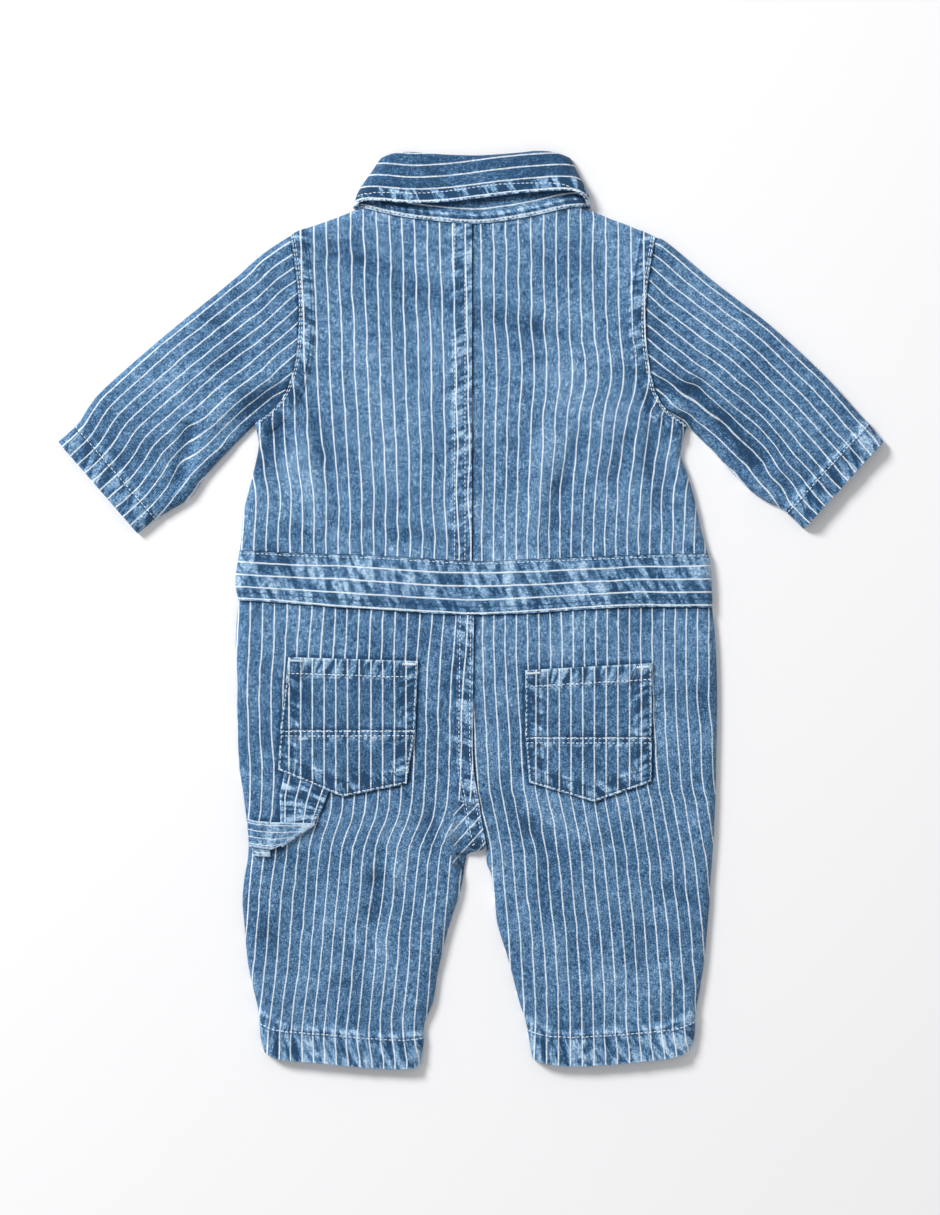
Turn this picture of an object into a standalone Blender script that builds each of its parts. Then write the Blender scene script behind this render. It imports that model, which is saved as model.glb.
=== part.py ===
"""Baby's denim romper with long sleeves, lying face down on a flat surface and buttoned shut.

Each cut piece is a closed wall of cloth in an object of its own: the backs, the sleeves, the
waistband, the legs, the pockets, a side loop, the collar and its stand, and underneath the plain
fronts with their placket and buttons.

Lengths are millimetres until a mesh is written in metres. X runs across the back from the
wearer's left to right, Y from the hems to the collar, and Z up from the surface below.
"""

from collections import namedtuple

import bmesh
import bpy
import numpy as np

# ---------------------------------------------------------------------------------------------
# Driving sizes

MM = 0.001

WALL = 1.2                # thickness of the denim
GAP = 0.3                 # parting between neighbouring pieces
RIM = WALL + GAP          # height of the upper cloth's edge, just over the lower cloth
CROWN = 6.3               # height of the upper cloth away from its edges
EDGE_ROLL = 6.0           # how far in from a closed edge the upper cloth rounds off

FELL_RAISE = 1.0          # extra height of a felled seam
HEM_RAISE = 0.8           # extra height of a turned hem
BAND_RAISE = 1.2          # extra height of the waistband
BAND_REACH = 40.0         # distance over its lower edge that takes in the whole waistband
STEP = 1.0                # run in which a raised band falls back to the cloth

CENTRE_BACK = 0.6         # X of the seam between the backs
BACK_FELL = 11.2          # width of the fell along the centre back
ARMHOLE_FELL = 9.0        # width of the fell round an armhole
RISE_FELL = 9.3           # width of the fell down the seat
NECK_FELL = 5.0           # width of the stitched edge of the collar stand
SLEEVE_HEM = 15.5
LEG_HEM = 19.5

PLACKET_HALF = 15.0       # half the width of the button placket
PLACKET_TOP = 194.5
LAP_START = 15.5          # how far left of the middle the left front rises over the placket
LAP_END = 13.0            # X at which the left front ends, over the placket
LAP_RUN = 7.5             # run in which a front rises to the placket
BUTTON_RADIUS = 5.5
BUTTON_COUNT = 5
BUTTON_PITCH = 33.0
BUTTON_FIRST = 0.4        # how far the first button is below the placket's top, in pitches
BUTTON_BEVEL = 0.4
BUTTON_SIDES = 16

STAND_LOW = 2 * RIM       # height of the stand's side edges, over the collar's wings
STAND_DEPTH = 36.0        # from the neck seam to the stand's upper edge at the back
FALL_CROWN = CROWN + RIM  # height of the fall where it lies on the stand
FALL_LIFT = 3.0           # how much more its free edge stands off
FALL_LIFT_REACH = 22.0
FALL_SIDE_ROLL = 7.0
FALL_DEPTH = 28.0         # from the free edge to the folded edge
FOLD_ROLL = 2.5           # rounding of the folded edge
FOLD_LOW = CROWN - WALL   # height at which the folded edge ends, inside the stand
FALL_BAND = 6.6           # width of the topstitched band along the free edge
FALL_BAND_RAISE = 0.4

ROLL_STATIONS = (0.0, 0.45, 1.5, 3.3, EDGE_ROLL)   # distances from a closed edge
FOLD_STATIONS = (FOLD_ROLL, 1.3, 0.4, 0.0)         # distances from the folded edge
BAND_COLUMNS = 9          # even columns of the waistband's grid, and so on
LEG_COLUMNS = 6
LEG_FRONT_COLUMNS = 3
POCKET_COLUMNS = 5
POINT_COLUMNS = 2         # on either side of a pocket's point
FALL_COLUMNS = 8
WING_COLUMNS = 2
LOOP_POINTS = 4           # points across the side loop's strip
LOOP_TURN_STEPS = 5
EDGE_OVERRUN = 15.0       # how far the closed edges are prolonged past their ends
CURVE_STEPS = 8           # straight runs between two points of an outline
INSET_STEPS = 80          # points of the lines that run beside a panel's edges
ON_LINE = 0.01            # distance at which a point counts as on a line
CORNER_CUT = 0.45         # how much is taken off the corners of the armpits

# ---------------------------------------------------------------------------------------------
# Outlines, each a smooth curve through a short table of points

Spot = namedtuple("Spot", "x y")
Sides = namedtuple("Sides", "y left right")
Fold = namedtuple("Fold", "x0 y0 x1 y1 width depth")
Roll = namedtuple("Roll", "edge reach low")
Raised = namedtuple("Raised", "edge width height")
Button = namedtuple("Button", "x y")

NECK_SEAM = [
    Spot(-67.6, 240.3), Spot(-64.8, 240.3), Spot(-46.2, 235.8), Spot(-25.2, 232.8), Spot(0.6, 230.8),
    Spot(18.0, 232.2), Spot(39.0, 235.8), Spot(55.2, 239.6), Spot(66.0, 240.8), Spot(68.8, 240.8),
]

SHOULDER_LEFT = [Spot(-67.6, 240.3), Spot(-85.0, 233.5), Spot(-101.0, 228.0), Spot(-108.0, 224.6)]
SHOULDER_RIGHT = [Spot(68.8, 240.8), Spot(83.5, 234.5), Spot(94.5, 230.5), Spot(110.2, 223.6)]

ARMHOLE_LEFT = [
    Spot(-129.6, 111.3), Spot(-116.8, 121.4), Spot(-110.1, 132.6), Spot(-105.6, 146.4),
    Spot(-103.6, 162.0), Spot(-103.2, 179.4), Spot(-104.4, 198.0), Spot(-108.0, 224.6),
]
ARMHOLE_RIGHT = [
    Spot(129.9, 110.1), Spot(119.6, 117.6), Spot(112.2, 126.6), Spot(108.2, 138.6),
    Spot(105.4, 154.8), Spot(104.4, 172.0), Spot(105.4, 192.6), Spot(110.2, 223.6),
]

SLEEVE_TOP_LEFT = [
    Spot(-108.0, 224.6), Spot(-126.0, 212.5), Spot(-143.0, 197.5), Spot(-183.0, 165.0),
    Spot(-218.5, 134.0), Spot(-228.5, 122.5), Spot(-236.0, 111.0), Spot(-247.2, 100.8),
]
SLEEVE_UNDER_LEFT = [
    Spot(-129.6, 111.3), Spot(-143.4, 97.4), Spot(-158.0, 81.8), Spot(-168.6, 67.4),
    Spot(-180.6, 59.6), Spot(-189.0, 54.6), Spot(-199.6, 45.8),
]
SLEEVE_TOP_RIGHT = [
    Spot(110.2, 223.6), Spot(118.0, 220.0), Spot(145.5, 197.0), Spot(179.0, 171.0),
    Spot(210.0, 142.5), Spot(232.0, 118.5), Spot(238.0, 112.0), Spot(247.2, 101.0),
]
SLEEVE_UNDER_RIGHT = [
    Spot(129.9, 110.1), Spot(143.4, 96.6), Spot(156.2, 82.8), Spot(167.0, 72.0),
    Spot(177.0, 65.0), Spot(187.4, 60.0), Spot(199.5, 48.6),
]

BODICE_SIDES = [          # from the armpits down to the waistband
    Sides(108.0, -128.5, 128.6), Sides(100.0, -127.0, 126.5), Sides(93.0, -128.0, 125.5),
    Sides(82.0, -130.5, 129.5), Sides(72.0, -133.0, 132.5), Sides(60.0, -136.0, 135.5),
    Sides(46.0, -137.5, 138.5),
]
WAIST_TOP = [
    Spot(-138.6, 35.4), Spot(-100.8, 33.6), Spot(-61.2, 32.4), Spot(-21.0, 30.0), Spot(5.4, 28.8),
    Spot(36.0, 30.0), Spot(79.2, 31.8), Spot(111.0, 33.0), Spot(142.2, 33.6),
]
WAIST_BOTTOM = [
    Spot(-139.4, 6.0), Spot(-111.0, 4.2), Spot(-81.0, 1.8), Spot(-51.0, 0.0), Spot(-21.0, -2.2),
    Spot(5.4, -2.8), Spot(36.0, -1.8), Spot(79.2, 1.0), Spot(111.0, 1.8), Spot(144.6, 1.5),
]
BAND_SIDES = [Sides(18.0, -141.0, 144.0)]

LEG_SIDES = [             # from the waistband down to the hems
    Sides(-18.0, -141.0, 146.5), Sides(-46.0, -140.0, 147.5), Sides(-65.0, -140.5, 147.5),
    Sides(-90.0, -139.5, 147.0), Sides(-114.0, -136.0, 146.5), Sides(-142.0, -133.3, 145.2),
    Sides(-162.0, -136.0, 143.5), Sides(-175.0, -137.0, 143.0), Sides(-187.0, -136.0, 142.0),
    Sides(-213.0, -133.5, 139.5), Sides(-240.0, -127.5, 135.0), Sides(-256.0, -126.0, 133.8),
]
HEM_LEFT = [
    Spot(-124.0, -264.4), Spot(-114.0, -269.0), Spot(-87.0, -271.5), Spot(-60.0, -274.0),
    Spot(-41.0, -274.8), Spot(-30.8, -273.6),
]
HEM_RIGHT = [
    Spot(36.8, -268.6), Spot(46.0, -271.8), Spot(62.0, -273.0), Spot(80.0, -272.2),
    Spot(95.0, -271.0), Spot(120.0, -268.0), Spot(131.4, -263.4),
]
RISE = [                  # seam down the seat, to the crotch
    Spot(1.8, -2.8), Spot(1.2, -47.4), Spot(1.2, -90.6), Spot(4.8, -115.0), Spot(9.4, -142.8),
]
CROTCH = [Spot(9.4, -142.8), Spot(1.0, -145.0), Spot(-7.6, -146.3)]
INSEAM_LEFT = [
    Spot(-7.6, -146.3), Spot(-5.6, -157.0), Spot(-6.4, -168.0), Spot(-13.0, -189.0),
    Spot(-19.5, -215.0), Spot(-22.5, -234.0), Spot(-28.0, -248.0), Spot(-28.5, -260.0),
    Spot(-30.8, -273.6),
]
FRONT_INSEAM_LEFT = [     # the front of the leg shows beside the back at the crotch
    Spot(-2.4, -146.4), Spot(-3.8, -153.0), Spot(-6.2, -168.0), Spot(-13.0, -189.0),
    Spot(-19.5, -215.0), Spot(-22.5, -234.0), Spot(-28.0, -248.0), Spot(-28.5, -260.0),
    Spot(-30.8, -273.6),
]
INSEAM_RIGHT = [
    Spot(9.4, -142.8), Spot(9.5, -152.0), Spot(12.5, -160.0), Spot(14.0, -176.0),
    Spot(16.0, -189.0), Spot(22.5, -210.0), Spot(29.0, -235.0), Spot(33.0, -247.0),
    Spot(36.8, -268.6),
]

FRONT_NECK_LEFT = [Spot(-67.6, 240.3), Spot(-62.0, 238.4), Spot(-54.0, 229.0), Spot(-42.0, 212.5),
                   Spot(-28.0, 202.5), Spot(LAP_END, 195.6)]
FRONT_NECK_RIGHT = [Spot(68.8, 240.8), Spot(63.0, 238.6), Spot(55.0, 229.0), Spot(42.0, 212.5),
                    Spot(28.0, 202.5), Spot(PLACKET_HALF + GAP, 197.2)]

STAND_SIDES = [           # from the neck seam up to the folded edge
    Sides(247.0, -66.2, 67.9), Sides(254.6, -62.6, 64.9), Sides(261.8, -57.6, 61.5),
]
STAND_TOP = [Spot(-52.4, 268.0), Spot(-34.0, 270.6), Spot(0.0, 269.0), Spot(36.0, 271.2), Spot(58.0, 267.8)]
STAND_FRONT_EDGE = [
    Spot(-67.4, 240.7), Spot(-61.0, 240.9), Spot(-53.0, 229.0), Spot(-41.0, 212.5),
    Spot(-28.0, 203.0), Spot(0.0, 197.5), Spot(28.0, 203.0), Spot(42.0, 212.5),
    Spot(54.0, 229.0), Spot(62.0, 241.2), Spot(68.6, 241.2),
]
STAND_FRONT_TOP = [Spot(-52.4, 268.0), Spot(-30.0, 264.0), Spot(0.0, 260.0), Spot(32.0, 264.0),
                   Spot(58.0, 267.8)]

FALL_SIDES = [            # from the free edge up to the folded edge
    Sides(240.7, -70.8, 71.6), Sides(248.5, -68.5, 70.5), Sides(254.0, -65.7, 68.2),
    Sides(262.0, -60.0, 64.0), Sides(267.5, -56.4, 61.4), Sides(270.8, -54.0, 59.6),
]
FREE_EDGE = [
    Spot(-70.8, 240.7), Spot(-66.4, 244.2), Spot(-55.2, 244.5), Spot(-36.0, 243.0), Spot(-18.6, 243.6),
    Spot(-3.6, 245.0), Spot(18.0, 247.8), Spot(39.0, 249.8), Spot(59.4, 250.4), Spot(68.6, 246.0),
    Spot(71.6, 240.7),
]
FOLDED_EDGE = [
    Spot(-54.0, 270.8), Spot(-48.0, 273.0), Spot(-37.0, 274.2), Spot(-24.0, 273.2), Spot(-10.0, 272.4),
    Spot(6.0, 272.2), Spot(27.0, 273.6), Spot(39.0, 274.8), Spot(50.0, 274.0), Spot(59.6, 270.8),
]
WING_EDGE_LEFT = [Spot(-70.8, 240.7), Spot(-60.0, 241.2), Spot(-52.0, 231.0), Spot(-40.0, 215.0),
                  Spot(-30.0, 206.0)]
WING_EDGE_RIGHT = [Spot(71.6, 240.7), Spot(61.0, 241.4), Spot(53.0, 231.0), Spot(41.0, 215.0),
                   Spot(31.0, 206.0)]
WING_FRONT_LEFT = [Spot(-30.0, 206.0), Spot(-18.0, 262.0)]
WING_FRONT_RIGHT = [Spot(31.0, 206.0), Spot(20.0, 262.0)]
WING_TOP_LEFT = [Spot(-54.0, 270.8), Spot(-44.0, 273.0), Spot(-32.0, 269.0), Spot(-18.0, 262.0)]
WING_TOP_RIGHT = [Spot(59.6, 270.8), Spot(50.0, 272.4), Spot(36.0, 269.0), Spot(20.0, 262.0)]

PocketShape = namedtuple("PocketShape", "top_left top_right seam_left seam_right low_left point low_right")
POCKETS = {
    "left": PocketShape(Spot(-109.2, -28.2), Spot(-31.8, -30.6), Spot(-114.0, -71.4), Spot(-33.4, -71.4),
                        Spot(-115.2, -95.4), Spot(-76.8, -111.6), Spot(-38.6, -103.8)),
    "right": PocketShape(Spot(32.4, -36.0), Spot(108.0, -31.8), Spot(32.4, -75.6), Spot(108.0, -75.6),
                         Spot(34.8, -103.2), Spot(73.5, -114.6), Spot(108.0, -102.6)),
}

# The largest folds: soft troughs from (x0, y0) to (x1, y1), in from the crown
FOLDS = [
    Fold(-142.0, 104.0, -119.0, 127.0, 7.0, 2.0),      # left sleeve, under the armhole
    Fold(-178.0, 82.0, -140.0, 116.0, 9.0, 0.9),       # left sleeve, along the forearm
    Fold(-200.0, 150.0, -140.0, 180.0, 10.0, 0.6),
    Fold(138.0, 130.0, 176.0, 92.0, 9.0, 1.6),         # right sleeve, two creases to the elbow
    Fold(132.0, 118.0, 162.0, 86.0, 6.0, 1.3),
    Fold(166.0, 128.0, 178.0, 90.0, 8.0, 1.2),
    Fold(180.0, 74.0, 196.0, 80.0, 7.0, 1.0),
    Fold(118.0, 112.0, 116.0, 62.0, 7.0, 1.2),         # right side, below the armpit
    Fold(-118.0, 104.0, -114.0, 62.0, 7.0, 0.9),       # left side, below the armpit
    Fold(-30.0, -126.0, -46.0, -176.0, 8.0, 1.4),      # left leg, from the crotch down
    Fold(-4.0, -122.0, -9.0, -140.0, 5.0, 1.2),        # the cloth drawn in at the crotch
    Fold(22.0, -128.0, 30.0, -170.0, 8.0, 0.8),
    Fold(-100.0, -160.0, -106.0, -214.0, 10.0, 0.7),
    Fold(112.0, -150.0, 104.0, -214.0, 10.0, 0.7),
]

# ---------------------------------------------------------------------------------------------
# Curves and flat patches


def smooth(points, before=None, after=None):
    """Dense polyline of a Catmull-Rom curve through a table of points.

    Where the line goes on beyond the table, `before` and `after` are the next points out.
    """
    knots = np.array([(point.x, point.y) for point in points])
    if len(knots) == 2:
        return knots
    padded = np.vstack([before or 2 * knots[0] - knots[1], knots, after or 2 * knots[-1] - knots[-2]])
    t = np.linspace(0, 1, CURVE_STEPS, endpoint=False)[:, None]
    runs = []
    for before, start, end, after in zip(padded, padded[1:], padded[2:], padded[3:]):
        linear = (end - before) * t
        square = (2 * before - 5 * start + 4 * end - after) * t ** 2
        cube = (3 * start - before - 3 * end + after) * t ** 3
        runs.append(start + 0.5 * (linear + square + cube))
    return np.vstack(runs + [knots[-1:]])


def column(rows, side):
    """One side of a table of levels, as points."""
    return [Spot(getattr(row, side), row.y) for row in rows]


def join(*curves):
    """Polylines laid end to end, with the shared points kept once."""
    return np.vstack([curves[0]] + [curve[1:] for curve in curves[1:]])


def runs(curve):
    """Distance along a polyline of each of its points."""
    return np.concatenate([[0.0], np.cumsum(np.linalg.norm(np.diff(curve, axis=0), axis=1))])


def length(curve):
    """Length of a polyline."""
    return runs(curve)[-1]


def mixed(values, run, places):
    """Pairs of values, given at distances along a polyline, read at other distances along it."""
    return np.stack([np.interp(places, run, values[:, axis]) for axis in (0, 1)], axis=-1)


def points_at(curve, share):
    """Points of a polyline at shares of its length."""
    return mixed(curve, runs(curve), np.asarray(share) * length(curve))


def portion(curve, start, end=None):
    """The polyline between two distances along it, or from one distance to its end."""
    run = runs(curve)
    end = run[-1] if end is None else end
    inner = curve[(run > start) & (run < end)]
    first, last = mixed(curve, run, np.array([start, end]))
    return np.vstack([first, inner, last])


def left_normals(curve):
    """Unit vectors to the left of a polyline, one at each of its points."""
    steps = np.diff(curve, axis=0)
    steps /= np.linalg.norm(steps, axis=1, keepdims=True)
    ahead = np.vstack([steps[:1], steps[:-1] + steps[1:], steps[-1:]])
    ahead /= np.linalg.norm(ahead, axis=1, keepdims=True)
    return np.stack([-ahead[:, 1], ahead[:, 0]], axis=1)


def shifted(curve, distance):
    """The polyline moved to its left by a distance."""
    return curve + distance * left_normals(curve)


def prolonged(curve, distance):
    """The polyline with a straight run added at each end."""
    first = curve[0] + (curve[0] - curve[1]) / np.linalg.norm(curve[0] - curve[1]) * distance
    last = curve[-1] + (curve[-1] - curve[-2]) / np.linalg.norm(curve[-1] - curve[-2]) * distance
    return np.vstack([first, curve, last])


def closest(points, curve):
    """Distance along a polyline of the place that is closest to each point."""
    step = np.diff(curve, axis=0)
    away = points[..., None, :] - curve[:-1]
    share = np.clip((away * step).sum(-1) / (step ** 2).sum(-1), 0, 1)
    distance = np.linalg.norm(away - share[..., None] * step, axis=-1)
    best = distance.argmin(-1)
    share = np.take_along_axis(share, best[..., None], axis=-1)[..., 0]
    run = runs(curve)
    return run[best] + share * (run[best + 1] - run[best])


def nearest(points, curve):
    """Distance of each point from a polyline, positive on its left, and the unit vector in which
    that distance grows.
    """
    run, places = runs(curve), closest(points, curve)
    away = points - mixed(curve, run, places)
    to_left = mixed(left_normals(curve), run, places)
    to_left /= np.linalg.norm(to_left, axis=-1, keepdims=True)
    distance = np.copysign(np.linalg.norm(away, axis=-1), (away * to_left).sum(-1))
    on_line = (np.abs(distance) < ON_LINE)[..., None]
    return distance, np.where(on_line, to_left, away / np.where(on_line, 1.0, distance[..., None]))


class Patch:
    """Flat four-sided piece, a Coons patch between a bottom, a top, a left and a right edge.

    The bottom and the top run from left to right, and the sides from bottom to top. `turn` is 1
    where the cloth is to the left of the bottom edge, and -1 in a mirrored patch.
    """

    def __init__(self, bottom, top, left, right):
        self.bottom, self.top, self.left, self.right = bottom, top, left, right
        rim = np.vstack([bottom, right, top[::-1], left[::-1]])
        ahead = np.roll(rim, -1, axis=0)
        self.turn = np.sign((rim[:, 0] * ahead[:, 1] - rim[:, 1] * ahead[:, 0]).sum())

    def at(self, u, v):
        """Points at u across, from left to right, and v along, from bottom to top."""
        across, along = u[..., None], v[..., None]
        sides = (1 - across) * points_at(self.left, v) + across * points_at(self.right, v)
        ends = (1 - along) * points_at(self.bottom, u) + along * points_at(self.top, u)
        corners = ((1 - across) * (1 - along) * self.left[0] + across * (1 - along) * self.right[0]
                   + (1 - across) * along * self.left[-1] + across * along * self.right[-1])
        return sides + ends - corners

    def inset(self, edge, width):
        """The line at a width in from a side edge, from the bottom edge to the top one."""
        if not width:
            return edge
        inwards = -self.turn if edge is self.left else self.turn
        even = points_at(edge, np.linspace(0, 1, INSET_STEPS))
        moved = shifted(even, inwards * width)
        inside = np.abs(nearest(moved, edge)[0]) > 0.98 * width
        inside &= self.turn * nearest(moved, self.bottom)[0] > GAP
        inside &= self.turn * nearest(moved, self.top)[0] < -GAP
        ends = [mixed(end, runs(end), width if edge is self.left else length(end) - width)
                for end in (self.bottom, self.top)]
        return np.vstack([ends[0], moved[inside], ends[1]])

    def middle(self, left_width, right_width):
        """The patch without a strip of the given width along its left and its right edge."""
        ends = [portion(end, left_width, length(end) - right_width) for end in (self.bottom, self.top)]
        return Patch(*ends, self.inset(self.left, left_width), self.inset(self.right, right_width))

    def share_of(self, point):
        """The share of the width at which a point of the bottom or the top edge lies."""
        end = min((self.bottom, self.top), key=lambda line: abs(nearest(point, line)[0]))
        return closest(point, end) / length(end)

    def grid(self, rows, start, end, count, knees=()):
        """Grid of points, row by row from bottom to top: columns at fixed distances in from the left
        and the right edge, at the knees, which are points of the bottom or the top edge, and
        `count` even ones in each stretch between.
        """
        middle = self.middle(start[-1], end[-1])
        stops = [0.0, *(middle.share_of(np.array(knee)) for knee in knees), 1.0]
        u = np.concatenate([np.linspace(near, far, count + 2)[:-1] for near, far in zip(stops, stops[1:])])
        u = np.append(u, 1.0)
        rows = np.asarray(rows)
        inner = middle.at(*np.meshgrid(u, rows))
        first = strip(points_at(self.left, rows), inner[:, 0], start)
        last = strip(points_at(self.right, rows), inner[:, -1], end)
        return np.concatenate([first, inner, last[:, ::-1]], axis=1)


def strip(edge, inner, distances):
    """Columns between an edge and the line at the last of the distances, without that line."""
    shares = [distance / distances[-1] for distance in distances[:-1]]
    columns = [edge + (inner - edge) * share for share in shares]
    return np.stack(columns, axis=1) if columns else np.empty((len(edge), 0, 2))


def stations(total, start, end, count):
    """Distances along an edge: close ones at its start and end, and `count` even ones between."""
    middle = np.linspace(start[-1], total - end[-1], count + 2)[1:-1]
    return np.concatenate([start, middle, total - np.asarray(end)[::-1]])


# ---------------------------------------------------------------------------------------------
# Closed edges of the garment, each with the cloth on its left

stand_left = smooth([NECK_SEAM[0]] + column(STAND_SIDES, "left") + [STAND_TOP[0]])
stand_right = smooth([NECK_SEAM[-1]] + column(STAND_SIDES, "right") + [STAND_TOP[-1]])
side_left = smooth([ARMHOLE_LEFT[0]] + column(BODICE_SIDES, "left") + [WAIST_TOP[0]])
side_right = smooth([ARMHOLE_RIGHT[0]] + column(BODICE_SIDES, "right") + [WAIST_TOP[-1]])
band_left = smooth([WAIST_TOP[0]] + column(BAND_SIDES, "left") + [WAIST_BOTTOM[0]])
band_right = smooth([WAIST_TOP[-1]] + column(BAND_SIDES, "right") + [WAIST_BOTTOM[-1]])
leg_left = smooth([WAIST_BOTTOM[0]] + column(LEG_SIDES, "left") + [HEM_LEFT[0]])
leg_right = smooth([WAIST_BOTTOM[-1]] + column(LEG_SIDES, "right") + [HEM_RIGHT[-1]])
armhole_left, armhole_right = smooth(ARMHOLE_LEFT), smooth(ARMHOLE_RIGHT)
shoulder_left = smooth(SHOULDER_LEFT, after=SLEEVE_TOP_LEFT[1])
shoulder_right = smooth(SHOULDER_RIGHT, after=SLEEVE_TOP_RIGHT[1])
sleeve_top_left = smooth(SLEEVE_TOP_LEFT, before=SHOULDER_LEFT[-2])
sleeve_top_right = smooth(SLEEVE_TOP_RIGHT, before=SHOULDER_RIGHT[-2])
sleeve_under_left, sleeve_under_right = smooth(SLEEVE_UNDER_LEFT), smooth(SLEEVE_UNDER_RIGHT)
rise, crotch = smooth(RISE), smooth(CROTCH)
inseam_left, inseam_right = smooth(INSEAM_LEFT), smooth(INSEAM_RIGHT)
waist_top, waist_bottom = smooth(WAIST_TOP), smooth(WAIST_BOTTOM)

CLOSED_EDGES = [prolonged(edge, EDGE_OVERRUN) for edge in (
    join(stand_left[::-1], shoulder_left, sleeve_top_left),
    join(sleeve_under_left[::-1], side_left, band_left, leg_left),
    join(inseam_left[::-1], crotch[::-1], inseam_right),
    join(leg_right[::-1], band_right[::-1], side_right[::-1], sleeve_under_right),
    join(sleeve_top_right[::-1], shoulder_right[::-1], stand_right),
)]

# ---------------------------------------------------------------------------------------------
# Heights of the cloth


def fold_depth(points):
    """Depth of the folds: a bell across each fold, which fades out past its ends."""
    depth = np.zeros(points.shape[:-1])
    for fold in FOLDS:
        line = np.array([(fold.x0, fold.y0), (fold.x1, fold.y1)])
        distance, _ = nearest(points, line)
        depth += fold.depth * np.exp(-(distance / fold.width) ** 2)
    return depth


def lying_height(points):
    """Height of the upper cloth before its edges are rounded."""
    return CROWN - fold_depth(points)


def fall_height(points):
    """Height of the collar's fall, which stands off towards its free edge."""
    distance, _ = nearest(points, smooth(FREE_EDGE))
    lift = 1 - np.clip(distance / FALL_LIFT_REACH, 0, 1)
    return FALL_CROWN + FALL_LIFT * lift


def level(height):
    """A function that gives the same height everywhere."""
    return lambda points: np.full(points.shape[:-1], height)


def surface(points, crown, rolls):
    """Heights and upward unit normals of cloth that rounds off along its closed edges.

    Along each edge the height goes from `low` to the crown as a quarter of an ellipse.
    """
    nudge = 0.05
    height = crown(points)
    slope = np.stack([(crown(points + axis) - crown(points - axis)) / (2 * nudge)
                      for axis in nudge * np.eye(2)], axis=-1)
    for roll in rolls:
        distance, inward = nearest(points, roll.edge)
        share = np.clip(distance / roll.reach, 1e-6, 1)
        rise_share = np.sqrt(1 - (1 - share) ** 2)
        steepness = (1 - share) / rise_share / roll.reach
        slope = rise_share[..., None] * slope + ((height - roll.low) * steepness)[..., None] * inward
        height = roll.low + (height - roll.low) * rise_share
    normal = np.concatenate([-slope, np.ones_like(height)[..., None]], axis=-1)
    return height, normal / np.linalg.norm(normal, axis=-1, keepdims=True)


def raised(points, bands):
    """Extra height of the raised bands, each along an edge and with a short slope behind it."""
    extra = np.zeros(points.shape[:-1])
    for band in bands:
        distance, _ = nearest(points, band.edge)
        share = np.clip((band.width + STEP - np.abs(distance)) / STEP, 0, 1)
        extra = np.maximum(extra, band.height * share)
    return extra


UPPER_ROLLS = [Roll(edge, EDGE_ROLL, RIM) for edge in CLOSED_EDGES]
LOWER_ROLLS = [Roll(edge, RIM, RIM) for edge in CLOSED_EDGES]


def at_height(points, height):
    """Flat points with their heights added."""
    return np.concatenate([points, height[..., None]], axis=-1)


def upper_cloth(points, bands=(), crown=lying_height, rolls=UPPER_ROLLS):
    """Outer and inner points of the upper cloth: raised bands outside over a plain inside."""
    height, normal = surface(points, crown, rolls)
    fade = np.clip(normal[..., 2], 0, 1)
    outer = at_height(points, height + raised(points, bands) * fade)
    return outer, at_height(points, height) - WALL * normal


def lower_cloth(points, floor=0.0, rolls=LOWER_ROLLS):
    """Outer and inner points of the flat lower side of a tube, rounded up along its edges."""
    height, normal = surface(points, level(floor), rolls)
    outer = at_height(points, height)
    return outer, outer + WALL * normal


# ---------------------------------------------------------------------------------------------
# Meshes

FINISHES = {              # base colour and roughness
    "denim": ((0.20, 0.34, 0.54, 1.0), 0.85),
    "button": ((0.55, 0.56, 0.58, 1.0), 0.40),
}


def finish(name):
    """The material of that name, made once."""
    material = bpy.data.materials.get(name)
    if material is None:
        material = bpy.data.materials.new(name)
        material.use_nodes = True
        shader = material.node_tree.nodes["Principled BSDF"]
        colour, roughness = FINISHES[name]
        shader.inputs["Base Color"].default_value = colour
        shader.inputs["Roughness"].default_value = roughness
        shader.inputs["Metallic"].default_value = 0.0
    return material


def add_object(name, points, faces, material="denim"):
    """A named object from points in millimetres and faces, with the faces turned outwards."""
    shape = bmesh.new()
    corners = [shape.verts.new(point) for point in np.asarray(points) * MM]
    for face in faces:
        shape.faces.new([corners[index] for index in face])
    bmesh.ops.recalc_face_normals(shape, faces=shape.faces)
    mesh = bpy.data.meshes.new(name)
    shape.to_mesh(mesh)
    shape.free()
    mesh.materials.append(finish(material))
    mesh.shade_smooth()
    bpy.context.collection.objects.link(bpy.data.objects.new(name, mesh))


def wall(name, outer, inner, closed=False):
    """A wall of cloth between two grids of points; a closed one joins its last column to the first."""
    rows, columns = outer.shape[:2]
    index = np.arange(rows * columns).reshape(rows, columns)
    skip = rows * columns
    wrap = np.hstack([index, index[:, :1]]) if closed else index
    faces = []
    for row in range(rows - 1):
        for cell in range(wrap.shape[1] - 1):
            quad = [wrap[row, cell], wrap[row, cell + 1], wrap[row + 1, cell + 1], wrap[row + 1, cell]]
            faces.append(quad)
            faces.append([corner + skip for corner in reversed(quad)])
    rims = [wrap[0], wrap[-1, ::-1]]
    if not closed:
        rims += [wrap[::-1, 0], wrap[:, -1]]
    for rim in rims:
        for near, far in zip(rim, rim[1:]):
            faces.append([far, near, near + skip, far + skip])
    points = np.vstack([outer.reshape(-1, 3), inner.reshape(-1, 3)])
    add_object(name, points, faces)


def tube(name, upper, lower):
    """A flattened tube: its upper side from edge to edge, and its lower side back again."""
    outer = np.concatenate([upper[0], lower[0][:, -2:0:-1]], axis=1)
    inner = np.concatenate([upper[1], lower[1][:, -2:0:-1]], axis=1)
    wall(name, outer, inner, closed=True)


# ---------------------------------------------------------------------------------------------
# Bodice and sleeves

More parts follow.
